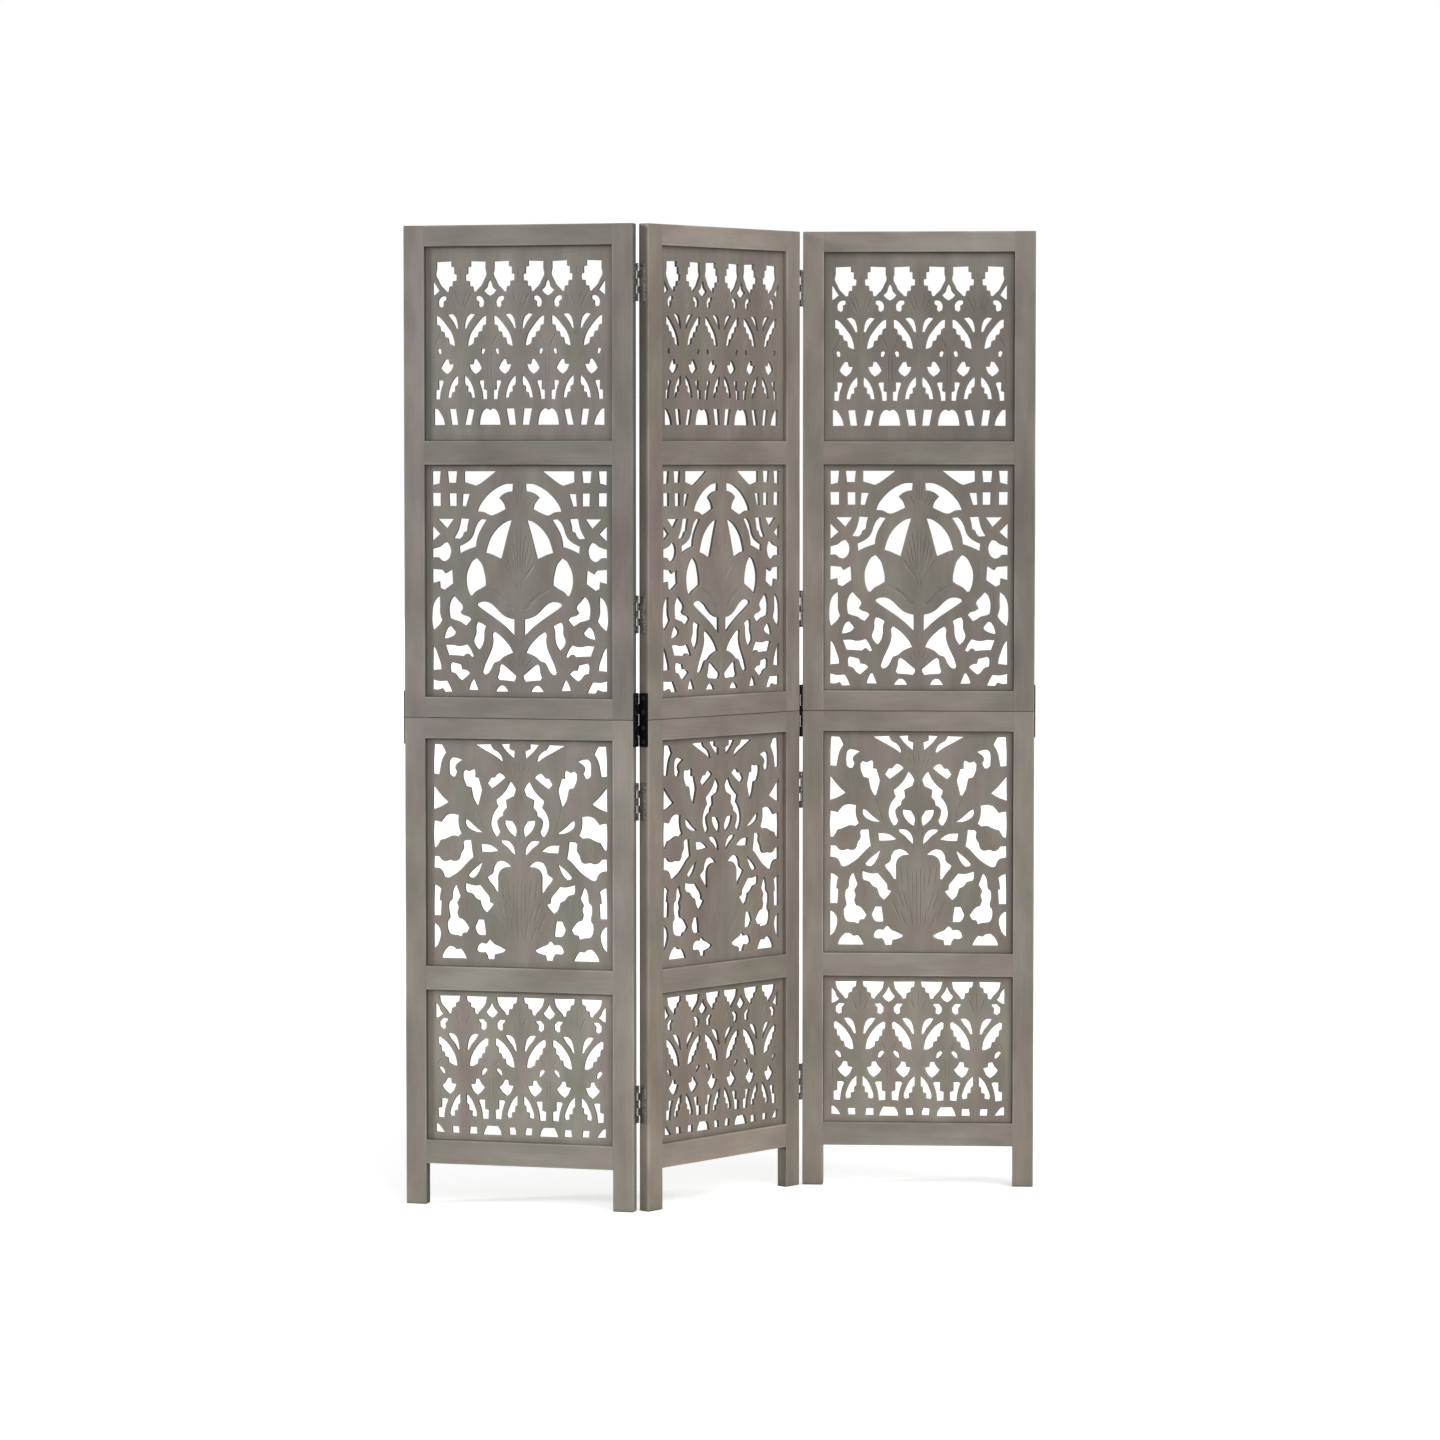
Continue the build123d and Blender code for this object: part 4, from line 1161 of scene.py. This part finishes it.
def plate(leaf, side, word):
    """A black plate across the joint of the halves, and its four countersunk screws."""
    name = f"{leaf}_{word}_joining_plate"
    outline = rounded_outline(PLATE_HIGH, PLATE_WIDE, PLATE_ROUND)
    sheet = stamped(outline, PLATE_OFF, PLATE_THICK, PLATE_EASE)
    heads = [screw_head(*PLATE_HEAD) + (at, 0.0, PLATE_THICK) for at in PLATE_SCREWS]
    steel = make_piece(f"{name}_steel", *gather([on_edge(sheet, side)]), BLACK_STEEL, leaf, name)
    screws = make_piece(f"{name}_screws", *gather([on_edge(head, side) for head in heads]),
                        BLACK_SCREW, leaf)
    return steel, screws


plates = [plate(leaf, side, word) for leaf in PLACES
          for side, word in ((-1, "left"), (1, "right"))]
print(f"{len(plates)} joining plates, each with {len(PLATE_SCREWS)} screws")

# %% [markdown]
# The hinges are butt hinges 63 mm high with five knuckles. One leaf has the three outer
# knuckles and the other the two between them. Each leaf is screwed to the edge of a stile, with
# three screws set in a zigzag, and the barrel stands just clear of the faces, so that the
# screen folds flat. The black plates have slim knuckles of the same kind, rolled so tightly that
# they stay inside the gap.

# %% Hinges
HINGE_LEVELS = (180.0, 688.0, 1001.0, 1553.0)
HINGE_HIGH, HINGE_WIDE, HINGE_ROUND, HINGE_EASE = 63.0, 12.8, 1.6, 0.18
HINGE_NEAR, HINGE_FAR = 1.3, 2.45  # a hinge leaf's two faces, from the middle of the gap
HINGE_MIDDLE = 9.55  # from the pin to the middle of a hinge leaf
HINGE_SCREWS = ((-23.0, 11.6), (0.0, 8.2), (23.0, 11.6))  # height and way from the pin
HINGE_HEAD = (2.9, 0.22, 0.45)
HINGE_PIN, BLACK_PIN = 0.72, 0.6  # radii
HINGE_STRIP, BLACK_STRIP = ribbon(curl(4.2, 1.14), 0.80), ribbon(curl(2.0, 1.02), 0.76)
FOLDS = {  # fold: pin, the leaf on its left and on its right, and which way the leaves lie
    "left_fold": (LEFT_PIN, "left", "centre", -1),
    "right_fold": (RIGHT_PIN, "centre", "right", 1),
}


def hinge_leaf(first, to_edge, inward, level):
    """The leaf's plate and its rolled knuckles about a pin on the z axis, in millimetres."""
    outline = rounded_outline(HINGE_WIDE, HINGE_HIGH, HINGE_ROUND)
    flat = stamped(outline, HINGE_NEAR, HINGE_FAR, HINGE_EASE)
    parts = [grid(to_edge * flat[..., 2], inward * (HINGE_MIDDLE + flat[..., 0]), flat[..., 1])]
    parts += knuckles(HINGE_STRIP * (to_edge, inward), first, 0.0, HINGE_HIGH)
    return [part + (0.0, 0.0, level) for part in parts]


def hinge_screws(to_edge, inward, level):
    """Three flat screw heads let into a hinge leaf, facing the gap."""
    head = screw_head(*HINGE_HEAD)
    return [grid(to_edge * (HINGE_NEAR - head[..., 2]), inward * (reach + head[..., 0]),
                 level + up + head[..., 1]) for up, reach in HINGE_SCREWS]


for fold, (pin, left_leaf, right_leaf, inward) in FOLDS.items():
    for word, leaf, first, to_edge in (("end", left_leaf, 0, -1), ("mid", right_leaf, 1, 1)):
        place, node = (PLACES[leaf][0], (0.0, 0.0), pin), f"{fold}_{word}_knuckle_hinge_leaves"
        parts = [part for z in HINGE_LEVELS for part in hinge_leaf(first, to_edge, inward, z)]
        make_piece(f"{node}_steel", *gather(parts), HINGE_METAL, leaf, node, place=place)
        heads = [head for z in HINGE_LEVELS for head in hinge_screws(to_edge, inward, z)]
        make_piece(f"{fold}_{word}_knuckle_screws", *gather(heads), SCREW_METAL, leaf,
                   place=place)
        slim = knuckles(BLACK_STRIP * (to_edge, inward), first, JOINT, PLATE_HIGH)
        make_piece(f"{fold}_{word}_joining_knuckles", *gather(slim), BLACK_STEEL, leaf,
                   place=place)
    place = (PLACES[left_leaf][0], (0.0, 0.0), pin)
    pins = [pin_rings(HINGE_PIN, level, HINGE_HIGH) for level in HINGE_LEVELS]
    make_piece(f"{fold}_hinge_pins_steel", *gather(pins), HINGE_METAL, left_leaf,
               f"{fold}_hinge_pins", place=place)
    wire = [pin_rings(BLACK_PIN, JOINT, PLATE_HIGH - 0.4)]
    make_piece(f"{fold}_joining_pin_steel", *gather(wire), BLACK_STEEL, left_leaf, place=place)
    print(f"{fold}: {len(HINGE_LEVELS)} hinges with {2 * len(HINGE_SCREWS)} screws each")

# %% [markdown]
# ## Studio
# The screen stands on a plain white floor under soft light. An even white sky gives most of the
# light, so that colours come out about as they are written. A broad lamp from the front right and
# a low one from the far left give the edges their shade. To the camera and in reflections the
# sky is plain white.

# %% Floor, sky and lamps
FLOOR_LIFT, SKY_STRENGTH, HALF_FLOOR = 0.46, 0.36, 30


def flat_floor():
    """A square at height nothing, a little brighter to the camera than the light makes it."""
    a = HALF_FLOOR
    mesh = bpy.data.meshes.new("floor")
    mesh.from_pydata([(-a, -a, 0), (a, -a, 0), (a, a, 0), (-a, a, 0)], [], [(0, 1, 2, 3)])
    floor = bpy.data.objects.new("floor", mesh)
    bpy.context.scene.collection.objects.link(floor)
    material, tree, shader = new_material("white_floor")
    seen = add_node(tree, "LightPath", {}, "Is Camera Ray")
    fill(tree, shader, {"Base Color": (0.93, 0.93, 0.93, 1.0), "Roughness": 0.9,
                        "Specular IOR Level": 0.1, "Emission Color": (1, 1, 1, 1),
                        "Emission Strength": product(tree, seen, FLOOR_LIFT)})
    mesh.materials.append(material)


def white_sky(strength):
    """White with strength 1 to camera, glossy and transmission rays, and dimmer as a lamp."""
    world = bpy.data.worlds.new("studio")
    bpy.context.scene.world = world
    world.use_nodes = True
    tree = world.node_tree
    clear = add_node(tree, "LightPath", {}, "Is Camera Ray")
    for kind in ("Is Glossy Ray", "Is Transmission Ray"):
        clear = product(tree, clear, add_node(tree, "LightPath", {}, kind), "MAXIMUM")
    fill(tree, tree.nodes["Background"], {
        "Color": (1, 1, 1, 1), "Strength": spread(tree, clear, 0.0, 1.0, strength, 1.0)})


def soft_sun(name, strength, height, side, width):
    """A lamp far off, seen under a wide angle, so that its shadows are soft. height and side
    are its direction in degrees above the floor and to the left of the front."""
    lamp = bpy.data.lights.new(name, "SUN")
    lamp.energy, lamp.angle = strength, math.radians(width)
    sun = bpy.data.objects.new(name, lamp)
    sun.rotation_euler = (math.radians(90 - height), 0.0, math.radians(-side))
    bpy.context.scene.collection.objects.link(sun)


flat_floor()
white_sky(SKY_STRENGTH)
soft_sun("broad_lamp_right", 1.62, 36, -30, 50)
soft_sun("low_lamp_left", 2.2, 14, 78, 12)
print("floor, sky and 2 lamps are in place")

# %% [markdown]
# ## Camera
# The camera stands 8 metres off with a long lens, a little below the top of the screen, so that
# the leaves keep their true widths and their uprights stay almost parallel.

# %% Camera
camera_data = bpy.data.cameras.new("camera")
camera_data.sensor_width, camera_data.lens = 36.0, 122.2
camera_data.clip_start, camera_data.clip_end = 0.1, 100.0
camera = bpy.data.objects.new("camera", camera_data)
camera.location = (-0.1208, -8.2922, 1.2643)
camera.rotation_euler = (math.radians(86.911), 0.0, math.radians(-0.789))
bpy.context.scene.collection.objects.link(camera)
bpy.context.scene.camera = camera
bpy.context.scene.view_settings.view_transform = "Standard"
print(f"camera at {tuple(camera.location)}")
